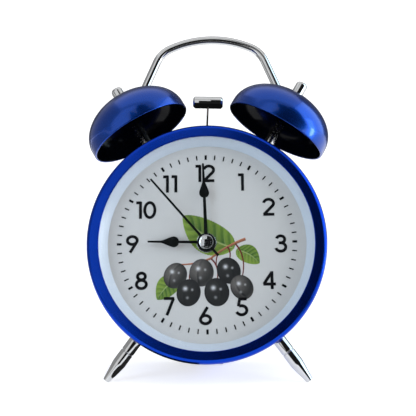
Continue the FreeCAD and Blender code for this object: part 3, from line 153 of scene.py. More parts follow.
# Camera, in the clock's own frame
EYE = (15.8, -316.8, -44.6)
YAW, PITCH, ROLL = (math.radians(a) for a in (-2.68, 10.51, -0.12))
FOCAL_PIXELS = 748.5
PICTURE_PIXELS = 416
SENSOR_WIDTH = 36.0


# Materials

def new_material(name):
    material = bpy.data.materials.new(name)
    material.use_nodes = True
    tree = material.node_tree
    shader = tree.nodes["Principled BSDF"]
    return material, tree, shader


def noise(tree, scale, detail=4.0, stretch=(1, 1, 1)):
    """Noise in the object's own space, where a scale of 1000 is a millimetre."""
    coords = tree.nodes.new("ShaderNodeTexCoord")
    mapping = tree.nodes.new("ShaderNodeMapping")
    mapping.inputs["Scale"].default_value = stretch
    texture = tree.nodes.new("ShaderNodeTexNoise")
    texture.inputs["Scale"].default_value = scale
    texture.inputs["Detail"].default_value = detail
    texture.inputs["Roughness"].default_value = 0.55
    tree.links.new(coords.outputs["Object"], mapping.inputs["Vector"])
    tree.links.new(mapping.outputs["Vector"], texture.inputs["Vector"])
    return texture.outputs["Fac"]


def ramp(tree, source, stops):
    node = tree.nodes.new("ShaderNodeValToRGB")
    elements = node.color_ramp.elements
    while len(elements) < len(stops):
        elements.new(0.5)
    for element, (position, colour) in zip(elements, stops):
        element.position = position
        element.color = (*colour, 1.0)
    tree.links.new(source, node.inputs["Fac"])
    return node.outputs["Color"]


def map_range(tree, source, low, high, from_low=0.3, from_high=0.7):
    node = tree.nodes.new("ShaderNodeMapRange")
    node.inputs["From Min"].default_value = from_low
    node.inputs["From Max"].default_value = from_high
    node.inputs["To Min"].default_value = low
    node.inputs["To Max"].default_value = high
    tree.links.new(source, node.inputs["Value"])
    return node.outputs["Result"]


def bump(tree, shader, height, strength, distance_mm, socket="Normal"):
    node = tree.nodes.new("ShaderNodeBump")
    node.inputs["Strength"].default_value = strength
    node.inputs["Distance"].default_value = distance_mm * 0.001
    tree.links.new(height, node.inputs["Height"])
    tree.links.new(node.outputs["Normal"], shader.inputs[socket])


def edge_wear(tree, source, worn, amount):
    """Mixes a worn colour in along the sharpest edges."""
    geometry = tree.nodes.new("ShaderNodeNewGeometry")
    mask = map_range(tree, geometry.outputs["Pointiness"], 0.0, amount, 0.56, 0.64)
    mix = tree.nodes.new("ShaderNodeMix")
    mix.data_type = "RGBA"
    tree.links.new(mask, mix.inputs["Factor"])
    tree.links.new(source, mix.inputs["A"])
    mix.inputs["B"].default_value = (*worn, 1.0)
    return mix.outputs["Result"]


def tone(colour, factor):
    return tuple(min(1.0, c * factor) for c in colour)


def varied(tree, colour, scale, spread, stretch=(1, 1, 1)):
    fac = noise(tree, scale, 3.0, stretch)
    return ramp(tree, fac, [(0.3, tone(colour, 1 - spread)), (0.7, tone(colour, 1 + spread))])


def enamel(name, colour, metallic, roughness, coat, coat_roughness=0.05, specular=0.3):
    """Candy enamel: a tinted metallic ground that varies very slightly, under a thin clear coat."""
    material, tree, shader = new_material(name)
    tree.links.new(varied(tree, colour, 90, 0.025), shader.inputs["Base Color"])
    tree.links.new(map_range(tree, noise(tree, 150), roughness * 0.92, roughness * 1.1),
                   shader.inputs["Roughness"])
    shader.inputs["Metallic"].default_value = metallic
    shader.inputs["Specular IOR Level"].default_value = specular
    shader.inputs["Coat Weight"].default_value = coat
    shader.inputs["Coat Roughness"].default_value = coat_roughness
    peel = noise(tree, 380, 1.0)
    bump(tree, shader, peel, 0.05, 0.03)
    bump(tree, shader, peel, 0.03, 0.03, "Coat Normal")
    return material


def metal(name, colour, low, high, scale, stretch=(1, 1, 1)):
    """Plated or drawn metal: roughness and tone vary in smudges or along a grain."""
    material, tree, shader = new_material(name)
    shader.inputs["Metallic"].default_value = 1.0
    tree.links.new(varied(tree, colour, scale * 0.6, 0.04, stretch), shader.inputs["Base Color"])
    tree.links.new(map_range(tree, noise(tree, scale, 5.0, stretch), low, high), shader.inputs["Roughness"])
    bump(tree, shader, noise(tree, scale * 4, 6.0, stretch), 0.04, 0.02)
    return material


def plastic(name, colour, roughness, grain, grain_scale, spread, specular=0.4):
    """Moulded plastic with a fine spark-eroded grain."""
    material, tree, shader = new_material(name)
    colours = varied(tree, colour, 300, spread)
    tree.links.new(edge_wear(tree, colours, tone(colour, 1.5), 0.3), shader.inputs["Base Color"])
    tree.links.new(map_range(tree, noise(tree, 600), roughness * 0.9, roughness * 1.12),
                   shader.inputs["Roughness"])
    shader.inputs["Specular IOR Level"].default_value = specular
    bump(tree, shader, noise(tree, grain_scale, 2.0), grain, 0.04)
    return material


def vertex_painted(name, roughness):
    """Printed ink whose colours are laid on the mesh's own corners."""
    material, tree, shader = new_material(name)
    paint = tree.nodes.new("ShaderNodeVertexColor")
    paint.layer_name = "paint"
    grain = map_range(tree, noise(tree, 1500, 3.0), 0.88, 1.1)
    mix = tree.nodes.new("ShaderNodeVectorMath")
    mix.operation = "SCALE"
    tree.links.new(paint.outputs["Color"], mix.inputs[0])
    tree.links.new(grain, mix.inputs["Scale"])
    tree.links.new(mix.outputs["Vector"], shader.inputs["Base Color"])
    shader.inputs["Roughness"].default_value = roughness
    return material


def clear_glass(name):
    """Clear glass that lets light through to the dial without needing caustics."""
    material, tree, shader = new_material(name)
    shader.inputs["Base Color"].default_value = (0.97, 0.985, 1.0, 1.0)
    shader.inputs["Roughness"].default_value = 0.0
    shader.inputs["IOR"].default_value = 1.46
    shader.inputs["Transmission Weight"].default_value = 1.0
    bump(tree, shader, noise(tree, 60, 1.0), 0.02, 0.05)
    path = tree.nodes.new("ShaderNodeLightPath")
    clear = tree.nodes.new("ShaderNodeBsdfTransparent")
    mix = tree.nodes.new("ShaderNodeMixShader")
    either = tree.nodes.new("ShaderNodeMath")
    either.operation = "MAXIMUM"
    tree.links.new(path.outputs["Is Shadow Ray"], either.inputs[0])
    tree.links.new(path.outputs["Is Diffuse Ray"], either.inputs[1])
    tree.links.new(either.outputs[0], mix.inputs["Fac"])
    tree.links.new(shader.outputs["BSDF"], mix.inputs[1])
    tree.links.new(clear.outputs["BSDF"], mix.inputs[2])
    tree.links.new(mix.outputs["Shader"], tree.nodes["Material Output"].inputs["Surface"])
    return material


def cell_sleeve(name):
    """A printed foil sleeve: dark for most of its length, with a copper band at the positive end."""
    material, tree, shader = new_material(name)
    coords = tree.nodes.new("ShaderNodeTexCoord")
    split = tree.nodes.new("ShaderNodeSeparateXYZ")
    tree.links.new(coords.outputs["Object"], split.inputs["Vector"])
    along = map_range(tree, split.outputs["X"], 0.0, 1.0, -0.03, 0.03)
    bands = [(0.0, (0.012, 0.012, 0.014)), (0.68, (0.012, 0.012, 0.014)), (0.69, (0.62, 0.30, 0.10)),
             (1.0, (0.70, 0.36, 0.14))]
    tree.links.new(ramp(tree, along, bands), shader.inputs["Base Color"])
    tree.links.new(map_range(tree, noise(tree, 500), 0.22, 0.34), shader.inputs["Roughness"])
    shader.inputs["Metallic"].default_value = 0.6
    bump(tree, shader, noise(tree, 900, 2.0), 0.04, 0.03)
    return material


case_blue = enamel("case_blue", (0.003, 0.042, 0.43), 0.95, 0.24, 0.04)
bell_blue = enamel("bell_blue", (0.004, 0.05, 0.33), 0.9, 0.24, 0.35, 0.03)
inside_black = enamel("inside_black", (0.002, 0.003, 0.006), 0.0, 0.15, 0.0, 0.05, 0.14)
chrome = metal("polished_chrome", (0.55, 0.558, 0.565), 0.03, 0.08, 300)
steel = metal("zinc_steel", (0.50, 0.50, 0.49), 0.22, 0.36, 900)
wire_steel = metal("drawn_wire", (0.36, 0.31, 0.28), 0.25, 0.4, 1200, (1, 1, 0.1))
brass = metal("turned_brass", (0.70, 0.50, 0.22), 0.15, 0.3, 900)
ring_silver = metal("ring_silver", (0.62, 0.62, 0.62), 0.12, 0.22, 900)
reflector = plastic("reflector_plastic", (0.65, 0.73, 0.82), 0.25, 0.02, 900, 0.015, 0.5)
card = plastic("dial_card", (0.62, 0.62, 0.605), 0.6, 0.05, 2500, 0.012, 0.2)
ink = plastic("dial_ink", (0.003, 0.003, 0.004), 0.6, 0.05, 2500, 0.2, 0.15)
hand_black = plastic("hand_black", (0.002, 0.003, 0.003), 0.42, 0.04, 1800, 0.25, 0.14)
cover_plastic = plastic("cover_plastic", (0.012, 0.013, 0.018), 0.5, 0.4, 2200, 0.12)
knob_plastic = plastic("knob_plastic", (0.010, 0.010, 0.011), 0.38, 0.2, 2600, 0.12)
housing_plastic = plastic("housing_plastic", (0.70, 0.70, 0.66), 0.45, 0.2, 1800, 0.04)
gear_plastic = plastic("gear_plastic", (0.82, 0.81, 0.76), 0.35, 0.05, 1800, 0.03)
rubber = plastic("pad_rubber", (0.018, 0.018, 0.018), 0.75, 0.5, 1500, 0.15, 0.2)
jacket = cell_sleeve("cell_jacket")
board_green = plastic("board_laminate", (0.02, 0.20, 0.07), 0.4, 0.2, 1500, 0.12)
copper = metal("winding_copper", (0.55, 0.22, 0.08), 0.3, 0.45, 400, (6, 1, 1))
lead_red = plastic("lead_vinyl", (0.45, 0.02, 0.015), 0.45, 0.05, 900, 0.08)
magnet = metal("magnet_grey", (0.10, 0.10, 0.10), 0.35, 0.5, 900)
glass = clear_glass("lens_glass")
print_ink = vertex_painted("sprig_print", 0.5)
white_mark = plastic("mark_white", (0.72, 0.72, 0.70), 0.5, 0.1, 1800, 0.04)


# Mesh tools

def ellipse(cx, cz, rx, rz, start=0, end=360, steps=32):
    """Points along part of an ellipse. A whole one leaves out the last point, where it would close."""
    points = []
    for i in range(steps + 1):
        a = math.radians(start + (end - start) * i / steps)
        points.append((cx + rx * math.cos(a), cz + rz * math.sin(a)))
    return points[:-1] if end - start == 360 else points


def eased(corners, steps, closed=True):
    """Rounds each (x, y, radius) corner of a flat outline."""
    points = []
    count = len(corners)
    for i, corner in enumerate(corners):
        x, y = corner[:2]
        radius = corner[2] if len(corner) > 2 else 0.0
        if radius == 0 or (not closed and i in (0, count - 1)):
            points.append((x, y))
            continue
        before = Vector(corners[i - 1][:2]) - Vector((x, y))
        after = Vector(corners[(i + 1) % count][:2]) - Vector((x, y))
        reach = min(radius, before.length * 0.49, after.length * 0.49)
        first = Vector((x, y)) + before.normalized() * reach
        last = Vector((x, y)) + after.normalized() * reach
        for s in range(steps + 1):
            t = s / steps
            p = first * (1 - t) ** 2 + Vector((x, y)) * 2 * t * (1 - t) + last * t * t
            points.append((p.x, p.y))
    return points


def make_object(name, bm, body, materials, replaces=(), smooth=True):
    """Takes a mesh made in the clock's millimetres into the scene, on its body and with its materials."""
    bmesh.ops.recalc_face_normals(bm, faces=bm.faces)
    mesh = bpy.data.meshes.new(name)
    bm.to_mesh(mesh)
    bm.free()
    mesh.transform(CLOCK)
    for material in materials:
        mesh.materials.append(material)
    for polygon in mesh.polygons:
        polygon.use_smooth = smooth
    obj = bpy.data.objects.new(name, mesh)
    bpy.context.scene.collection.objects.link(obj)
    if smooth:
        modifier = obj.modifiers.new("normals", "WEIGHTED_NORMAL")
        modifier.keep_sharp = True
    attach(obj, body)
    if replaces:
        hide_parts(*replaces)


AROUND_CASE = Matrix.Rotation(math.radians(-90), 4, "X")


def outward(angle_deg, y):
    """Local Z along a clock direction, at a depth."""
    return Matrix.Translation((0, y, 0)) @ Matrix.Rotation(math.radians(angle_deg), 4, "Y")


def lathe(bm, outline, matrix, segments, closed=True, material_at=None):
    """Turns an outline of (radius, height) about local Z."""
    rings = []
    for radius, height in outline:
        if radius < 1e-6:
            rings.append([bm.verts.new(matrix @ Vector((0, 0, height)))])
            continue
        ring = []
        for s in range(segments):
            a = 2 * math.pi * s / segments
            ring.append(bm.verts.new(matrix @ Vector((radius * math.cos(a), radius * math.sin(a), height))))
        rings.append(ring)
    following = rings[1:] + rings[:1] if closed else rings[1:]
    for index, (a, b) in enumerate(zip(rings, following)):
        for s in range(segments):
            t = (s + 1) % segments
            quad = [a[s % len(a)], a[t % len(a)], b[t % len(b)], b[s % len(b)]]
            unique = list(dict.fromkeys(quad))
            if len(unique) > 2:
                face = bm.faces.new(unique)
                if material_at:
                    face.material_index = material_at(index)


def prism(bm, outline, y0, y1, edge):
    """A flat closed outline in the dial plane, given depth, with its front and rear edges eased."""
    count = len(outline)
    rings = []
    for y, inset in ((y0, edge), (y0 + edge, 0.0), (y1 - edge, 0.0), (y1, edge)):
        ring = []
        for i, (x, z) in enumerate(outline):
            if inset:
                px, pz = outline[i - 1]
                nx, nz = outline[(i + 1) % count]
                tangent = Vector((nx - px, nz - pz))
                if tangent.length > 1e-9:
                    tangent.normalize()
                x, z = x - tangent.y * inset, z + tangent.x * inset
            ring.append(bm.verts.new((x, y, z)))
        rings.append(ring)
    for a, b in zip(rings, rings[1:]):
        for i in range(count):
            j = (i + 1) % count
            bm.faces.new((a[i], a[j], b[j], b[i]))
    bm.faces.new(rings[0][::-1])
    bm.faces.new(rings[-1])


def rotated(points, angle_deg):
    a = math.radians(angle_deg)
    return [(x * math.cos(a) + z * math.sin(a), -x * math.sin(a) + z * math.cos(a)) for x, z in points]


def ribbon(bm, path, width, y, closed=False):
    """A printed stroke of even width along a path in the dial plane."""
    count = len(path)
    left, right = [], []
    for i, (x, z) in enumerate(path):
        before = path[i - 1] if (i > 0 or closed) else path[i]
        after = path[(i + 1) % count] if (i < count - 1 or closed) else path[i]
        first = Vector((x - before[0], z - before[1]))
        second = Vector((after[0] - x, after[1] - z))
        if first.length < 1e-9:
            first = second
        if second.length < 1e-9:
            second = first
        first.normalize()
        second.normalize()
        across = Vector((-(first + second).y, (first + second).x)).normalized()
        # A bend is as wide as its runs, up to twice the stroke at a sharp one
        reach = width / 2 / max(0.5, across.dot(Vector((-first.y, first.x))))
        left.append(bm.verts.new((x + across.x * reach, y, z + across.y * reach)))
        right.append(bm.verts.new((x - across.x * reach, y, z - across.y * reach)))
    for i in range(count if closed else count - 1):
        j = (i + 1) % count
        bm.faces.new((left[i], left[j], right[j], right[i]))


# Case

def build_case():
    bm = bmesh.new()
    lathe(bm, eased(BEZEL_OUTLINE, 6), AROUND_CASE, 256)
    make_object("bezel_ring", bm, "case", [case_blue], ["front_bezel"])

    bm = bmesh.new()
    lathe(bm, eased(REFLECTOR_OUTLINE, 3), AROUND_CASE, 192)
    make_object("reflector_liner", bm, "case", [reflector], ["reflector_ring"])

    bm = bmesh.new()
    lathe(bm, eased(LENS_OUTLINE, 3), AROUND_CASE, 192, closed=False)
    make_object("lens_disc", bm, "case", [glass], ["lens"])


# Bells, posts and nuts

def bell_outline():
    """The bell's rolled rim, outside, crown and inside, and where along the outline the inside starts."""
    outer, inner = [], []
    for i in range(BELL_STEPS + 1):
        a = math.pi / 2 * i / BELL_STEPS
        r, h = BELL_RADIUS * math.cos(a), BELL_RIM + BELL_WALL + BELL_RISE * math.sin(a)
        if r > BELL_CROWN + 0.2:
            outer.append((r, h))
    for i in range(BELL_STEPS + 1):
        a = math.pi / 2 * (BELL_STEPS - i) / BELL_STEPS
        r = (BELL_RADIUS - BELL_THICKNESS) * math.cos(a)
        h = BELL_RIM + BELL_WALL + (BELL_RISE - BELL_THICKNESS) * math.sin(a)
        if r > BELL_CROWN:
            inner.append((r, h))
    top = BELL_RIM + BELL_WALL + BELL_RISE
    under = top - BELL_CROWN_THICKNESS
    crown = [(BELL_CROWN, top - 0.02), (POST_BORE, top), (POST_BORE, under), (BELL_CROWN, under)]
    rolled = [(BELL_RADIUS - BELL_THICKNESS * share, BELL_RIM + rise)
              for share, rise in ((0.95, 0.55), (0.8, 0.12), (0.5, 0), (0.2, 0.12), (0, 0.5))]
    return rolled + outer + crown + inner, len(rolled) + len(outer) + 1


def build_bells():
    outline, inner_start = bell_outline()
    top = BELL_RIM + BELL_WALL + BELL_RISE
    for side, word in ((-1, "left"), (1, "right")):
        matrix = outward(side * BELL_ANGLE, BELL_Y)
        bm = bmesh.new()
        lathe(bm, outline, matrix, 160, True, lambda i: 1 if i >= inner_start or i < 1 else 0)
        make_object(word + "_bell_shell", bm, "case", [bell_blue, inside_black],
                    [word + "_bell"])

        bm = bmesh.new()
        lathe(bm, eased(POST_OUTLINE, 3, closed=False), matrix, 48, closed=False)
        make_object(word + "_post_bar", bm, "case", [ring_silver], [word + "_bell_post"])

        nut = NUT_HEIGHTS[word]
        cap = ellipse(NUT_RADIUS - NUT_EASE, top + nut - NUT_EASE, NUT_EASE, NUT_EASE, 0, 90, 12)
        bm = bmesh.new()
        lathe(bm, [(1.5, top), (NUT_RADIUS - 0.1, top), (NUT_RADIUS, top + 0.1), *cap, (0, top + nut)],
              matrix, 64, closed=False)
        make_object(word + "_nut_cap", bm, "case", [chrome], [word + "_bell_nut"])


# Legs

def build_legs():
    to_clock = CLOCK.inverted()
    floor_point = to_clock @ Vector((0, 0, 0))
    floor_normal = (to_clock.to_3x3() @ Vector((0, 0, -1))).normalized()
    for side, word in ((-1, "left"), (1, "right")):
        matrix = outward(180 - side * LEG_ANGLE, LEG_Y)
        bm = bmesh.new()
        lathe(bm, eased(LEG_OUTLINE, 4, closed=False), matrix, 64, closed=False)
        # Cut level with the floor, as the foot's facet is
        cut = bmesh.ops.bisect_plane(bm, geom=bm.verts[:] + bm.edges[:] + bm.faces[:], plane_co=floor_point,
                                     plane_no=floor_normal, clear_outer=True)
        edges = [e for e in cut["geom_cut"] if isinstance(e, bmesh.types.BMEdge)]
        bmesh.ops.holes_fill(bm, edges=edges, sides=0)
        make_object(word + "_leg_pin", bm, "case", [chrome], [word + "_leg"])


# Dial print

def digit_strokes(digit):
    """A plain geometric numeral one unit high: its advance, and its strokes with whether each closes."""
    def arc(cx, cz, rx, rz, start, end):
        return ellipse(cx, cz, rx, rz, start, end, NUMERAL_STEPS)
    if digit == "0":
        return 0.62, [(arc(0.31, 0.5, 0.235, 0.435, 0, 360), True)]
    if digit == "1":
        return 0.36, [([(0.27, 0.0), (0.27, 1.0)], False), ([(0.07, 0.935), (0.30, 0.935)], False)]
    if digit == "2":
        bow = arc(0.29, 0.70, 0.225, 0.235, 172, -38)
        return 0.60, [(bow + [(0.07, 0.065)], False), ([(0.045, 0.065), (0.545, 0.065)], False)]
    if digit == "3":
        upper = arc(0.26, 0.735, 0.185, 0.20, 165, -80)
        lower = arc(0.26, 0.30, 0.225, 0.237, 82, -168)
        return 0.56, [(upper, False), (lower, False), ([(0.17, 0.537), (0.30, 0.537)], False)]
    if digit == "4":
        return 0.62, [([(0.415, 0.93), (0.06, 0.285)], False), ([(0.035, 0.285), (0.60, 0.285)], False),
                      ([(0.43, 0.0), (0.43, 1.0)], False)]
    if digit == "5":
        bowl = arc(0.265, 0.315, 0.235, 0.25, 118, -160)
        return 0.58, [([(0.16, 0.935), (0.50, 0.935)], False), ([(0.195, 0.97), (0.125, 0.53)], False),
                      (bowl, False)]
    if digit == "6":
        return 0.60, [(arc(0.30, 0.29, 0.225, 0.225, 0, 360), True),
                      ([(0.40, 0.985), (0.115, 0.42)], False)]
    if digit == "7":
        return 0.56, [([(0.04, 0.935), (0.51, 0.935)], False), ([(0.475, 0.935), (0.175, 0.0)], False)]
    if digit == "8":
        return 0.58, [(arc(0.29, 0.745, 0.178, 0.19, 0, 360), True),
                      (arc(0.29, 0.295, 0.225, 0.23, 0, 360), True)]
    return 0.60, [(arc(0.30, 0.71, 0.225, 0.225, 0, 360), True),
                  ([(0.20, 0.015), (0.485, 0.58)], False)]


def build_print():
    """The minute marks and the numerals, each stroke a little in front of the one it crosses."""
    bm = bmesh.new()
    y = DIAL_Y - PRINT_LIFT
    for minute in range(60):
        width = MINUTE_TICK_WIDTH if minute % 5 else HOUR_TICK_WIDTH
        a = math.radians(6 * minute)
        path = [(r * math.sin(a), r * math.cos(a)) for r in (TICK_OUTER - TICK_LENGTH, TICK_OUTER)]
        ribbon(bm, path, width, y)
    for number, (cx, cz) in NUMERAL_PLACES.items():
        digits = [digit_strokes(d) for d in str(number)]
        gap = NUMERAL_GAP if len(digits) == 2 else 0
        x = -(sum(advance for advance, _ in digits) + gap) / 2
        layer = 0
        for advance, strokes in digits:
            for path, closed in strokes:
                placed = [(cx + (x + px) * NUMERAL_WIDTH, cz + (pz - 0.5) * NUMERAL_HEIGHT)
                          for px, pz in path]
                ribbon(bm, placed, NUMERAL_STROKE, y - NUMERAL_LAYER * layer, closed)
                layer += 1
            x += advance + gap
    for vertex in bm.verts:
        vertex.co = Matrix.Rotation(math.radians(PRINT_TURN), 3, "Y") @ vertex.co
    make_object("dial_numerals", bm, "case", [ink], smooth=False)


def painted_object(name, patches):
    """Flat printed patches, each a grid of (x, z, colour) rows, with the colour on the mesh."""
    bm = bmesh.new()
    layer = bm.loops.layers.float_color.new("paint")
    for order, rows in enumerate(patches):
        y = DIAL_Y - SPRIG_LIFT - SPRIG_LAYER * order
        grid = [[(bm.verts.new((x, y, z)), colour) for x, z, colour in row] for row in rows]
        for a, b in zip(grid, grid[1:]):
            for i in range(len(a) - 1):
                corners = [a[i], a[i + 1], b[i + 1], b[i]]
                face = bm.faces.new([c[0] for c in corners])
                for loop, (_, colour) in zip(face.loops, corners):
                    loop[layer] = (*colour, 1.0)
    make_object(name, bm, "case", [print_ink], smooth=False)


def blend_colour(a, b, t):
    t = max(0.0, min(1.0, t))
    return tuple(p + (q - p) * t for p, q in zip(a, b))


def leaf(base, tip, width, bend, light, dark, turn=1):
    """A pointed leaf: a pale midrib, side veins that run forward, one half in shade and a bright edge."""
    base, tip = Vector(base), Vector(tip)
    along = tip - base
    side = Vector((-along.y, along.x)).normalized()
    rib = blend_colour(light, (0.55, 0.62, 0.30), 0.5)
    rows = []
    steps, across = 72, 20
    for i in range(steps + 1):
        t = i / steps
        centre = base + along * t + side * bend * math.sin(math.pi * t)
        half = width / 2 * 2.6 * t ** 0.6 * (1 - t) ** 0.8 + 0.02
        half *= 1 + 0.02 * math.sin(t * 150)
        row = []
        for j in range(-across, across + 1):
            v = j / across
            p = centre + side * half * v
            phase = t * 7.0 - abs(v) * 1.3 + (0.35 if v > 0 else 0.0)
            vein = max(0.0, math.cos(phase * 2 * math.pi) - 0.88) / 0.12
            shade = 0.30 + 0.34 * (v * turn > 0) + 0.22 * math.sin(phase * 2 * math.pi)
            shade += 0.22 * math.exp(-(v / 0.22) ** 2) - 0.25 * abs(v) ** 3
            colour = blend_colour(light, dark, shade)
            colour = blend_colour(colour, rib, 0.55 * vein * (1 - abs(v)))
            colour = blend_colour(colour, rib, 1.0 - abs(v) * across / (2.0 - t))
            row.append((p.x, p.y, colour))
        rows.append(row)
    return rows


def plum(centre, length, width, angle_deg, body, glow, groove=0.35):
    """A dark stone fruit: a broad soft sheen, small highlights, a lit lower rim and a shallow groove."""
    a = math.radians(angle_deg)
    sparks = ((-0.28, 0.34, 0.024, 0.95), (0.30, 0.24, 0.007, 0.55), (-0.10, -0.42, 0.010, 0.35))
    rows = []
    rings, around = 22, 60
    for i in range(rings + 1):
        r = i / rings
        row = []
        for j in range(around + 1):
            p = 2 * math.pi * j / around
            u, v = r * math.cos(p), r * math.sin(p)
            x = u * length / 2 * math.cos(a) - v * width / 2 * math.sin(a)
            z = u * length / 2 * math.sin(a) + v * width / 2 * math.cos(a)
            nx, nz = 2 * x / width, 2 * z / width
            depth = math.sqrt(max(0.0, 1 - r * r))
            lit = max(0.0, -0.42 * nx + 0.36 * nz + 0.80 * depth)
            value = 0.10 + 0.90 * lit ** 2.2
            value -= 0.45 * math.exp(-((v - groove * (1 - u * u)) / 0.08) ** 2) * depth
            value += 0.25 * math.exp(-((v - groove * (1 - u * u) - 0.13) / 0.06) ** 2) * depth
            colour = blend_colour(body, glow, value)
            for sx, sz, spread, level in sparks:
                spark = math.exp(-((nx - sx) ** 2 + (nz - sz) ** 2) / spread)
                colour = blend_colour(colour, (0.78, 0.79, 0.80), level * spark)
            rim = max(0.0, 0.5 * nx - 0.6 * nz - 0.35) * max(0.0, (r - 0.7) / 0.3)
            colour = blend_colour(colour, glow, 0.9 * rim)
            row.append((centre[0] + x, centre[1] + z, colour))
        rows.append(row)
    return rows


def stem(points, width, colour):
    rows = []
    count = len(points)
    for i, (x, z) in enumerate(points):
        before = Vector(points[max(0, i - 1)])
        after = Vector(points[min(count - 1, i + 1)])
        across = Vector((-(after - before).y, (after - before).x)).normalized()
        w = width * (1.0 - 0.4 * i / count)
        rows.append([(x + across.x * w * s / 2, z + across.y * w * s / 2,
                      blend_colour(tone(colour, 1.7), tone(colour, 0.5), (s + 1) / 2)) for s in (-1, 0, 1)])
    return rows


def curve_points(a, b, c, steps=16):
    return [tuple(Vector(a) * (1 - t) ** 2 + Vector(b) * 2 * t * (1 - t) + Vector(c) * t * t)
            for t in (i / steps for i in range(steps + 1))]


def build_sprig():
    """A plain sprig of damsons and leaves in the lower half of the dial."""
    light, dark = (0.25, 0.385, 0.045), (0.028, 0.105, 0.009)
    bark, stalk = (0.34, 0.12, 0.06), (0.13, 0.012, 0.007)
    body = (0.004, 0.004, 0.004)
    pale, deep = (0.13, 0.118, 0.108), (0.020, 0.019, 0.018)
    patches = [
        leaf((12.0, -2.5), (-10.5, 12.0), 14.5, 2.0, light, dark, -1),
        leaf((13.0, -3.0), (23.0, -9.0), 8.0, 1.0, tone(light, 0.9), dark),
        leaf((-12.0, -15.0), (-21.5, -24.5), 9.0, -1.0, tone(light, 0.9), dark),
        stem(curve_points((17.0, 1.6), (9.0, -1.0), (1.0, -7.4), 24), 1.3, bark),
        stem(curve_points((2.6, -6.4), (-4.0, -9.6), (-12.0, -9.4)), 0.95, bark),
        stem(curve_points((9.0, -1.8), (11.0, -4.0), (9.8, -8.0)), 0.75, stalk),
        stem(curve_points((12.5, -0.4), (17.5, -6.0), (15.4, -15.0)), 0.75, stalk),
        stem(curve_points((2.0, -7.0), (5.6, -10.0), (4.6, -16.0)), 0.75, stalk),
        stem(curve_points((5.0, -4.6), (3.0, -9.5), (5.8, -14.0)), 0.6, stalk),
        stem(curve_points((-4.0, -9.0), (-8.0, -11.0), (-7.4, -17.0)), 0.75, stalk),
        plum((-13.6, -14.2), 11.4, 10.0, 64, body, pale),
        plum((9.6, -12.2), 11.6, 10.2, 112, body, deep, -0.3),
        plum((15.2, -19.4), 11.0, 9.6, 122, body, pale, 0.35),
        plum((-2.2, -13.0), 12.0, 10.6, 84, body, pale, 0.3),
        plum((-7.8, -21.6), 11.8, 10.4, 76, body, deep),
        plum((4.4, -21.4), 12.2, 10.8, 98, body, deep, -0.35),
    ]
    painted_object("dial_sprig", patches)


# Hands

def hand_shape(half_widths):
    """A symmetric outline from (distance, half width) points, tip last."""
    return [(w, d) for d, w in half_widths] + [(-w, d) for d, w in reversed(half_widths)]


def spade(stem_half, inner_end, bulb_half, bulb_at, neck_half, taper_end, tip_half, tip):
    """The half widths of a spade hand: a stem, a round bulb, a taper and a slim tip."""
    points = [(0.0, stem_half), (inner_end, stem_half * 0.8)]
    for i in range(1, 9):
        t = i / 8
        points.append((inner_end + (bulb_at - inner_end) * (1 - math.cos(t * math.pi / 2)),
                       stem_half * 0.8 + (bulb_half - stem_half * 0.8) * math.sin(t * math.pi / 2)))
    for i in range(1, 13):
        t = i / 12
        points.append((bulb_at + (taper_end - bulb_at) * t,
                       neck_half + (bulb_half - neck_half) * (1 - t) ** 1.5 * (1 + 0.9 * t)))
    points.append((tip - tip_half * 0.6, tip_half))
    points.append((tip, tip_half * 0.4))
    return points


def build_hand(name, node, body, widths, y, angle, hub_radius):
    bm = bmesh.new()
    prism(bm, rotated(hand_shape(widths), angle), y, y + HAND_THICKNESS, HAND_EDGE)
    hub_rear = y + HUB_HEIGHT
    outline = [(HUB_BORE, y), (hub_radius, y, 0.12), (hub_radius, hub_rear, 0.05), (HUB_BORE, hub_rear)]
    lathe(bm, eased(outline, 3), AROUND_CASE, 64)
    make_object(name, bm, body, [hand_black], [node])


def build_hands():
    build_hand("alarm_pointer", "alarm_hand", "alarm_hand", [(0, 0.35), (13, 0.35), (17.5, 0.2)],
               ALARM_HAND_Y, HOUR_ANGLE, 3.8)
    build_hand("hour_pointer", "hour_hand", "hour_hand",
               spade(0.68, 12.0, 2.4, 14.3, 0.5, 19.8, 0.4, 25.6), HOUR_HAND_Y, HOUR_ANGLE, 3.9)
    build_hand("minute_pointer", "minute_hand", "minute_hand",
               spade(0.80, 19.7, 2.2, 21.8, 0.58, 26.9, 0.45, 35.0), MINUTE_HAND_Y, MINUTE_ANGLE, 3.9)
    build_hand("second_pointer", "second_hand", "second_hand",
               [(-8.0, 0.55), (0, 0.55), (37.2, 0.42)], SECOND_HAND_Y, SECOND_ANGLE, 2.0)

    sphere = (CAP_RADIUS ** 2 + CAP_RISE ** 2) / (2 * CAP_RISE)
    outline = [(0, SECOND_HAND_Y - CAP_RISE)]
    for i in range(1, 13):
        r = CAP_RADIUS * i / 12
        outline.append((r, SECOND_HAND_Y - CAP_RISE + sphere - math.sqrt(sphere ** 2 - r ** 2)))
    outline += [(CAP_RADIUS, SECOND_HAND_Y), (0, SECOND_HAND_Y)]
    bm = bmesh.new()
    lathe(bm, outline, AROUND_CASE, 96, closed=False)
    make_object("hub_cap", bm, "second_hand", [chrome], ["hand_cap"])

    bm = bmesh.new()
    lathe(bm, eased(CENTRE_RING_OUTLINE, 4), AROUND_CASE, 96)
    make_object("centre_ring", bm, "case", [ring_silver], ["movement_nut"])


# Marks on the back

LETTERS = {
    "O": [(ellipse(0.36, 0.5, 0.32, 0.46), True)],
    "N": [([(0.05, 0.0), (0.05, 1.0)], False), ([(0.05, 0.95), (0.62, 0.05)], False),
          ([(0.62, 0.0), (0.62, 1.0)], False)],
    "F": [([(0.05, 0.0), (0.05, 1.0)], False), ([(0.0, 0.94), (0.55, 0.94)], False),
          ([(0.05, 0.52), (0.48, 0.52)], False)],
}


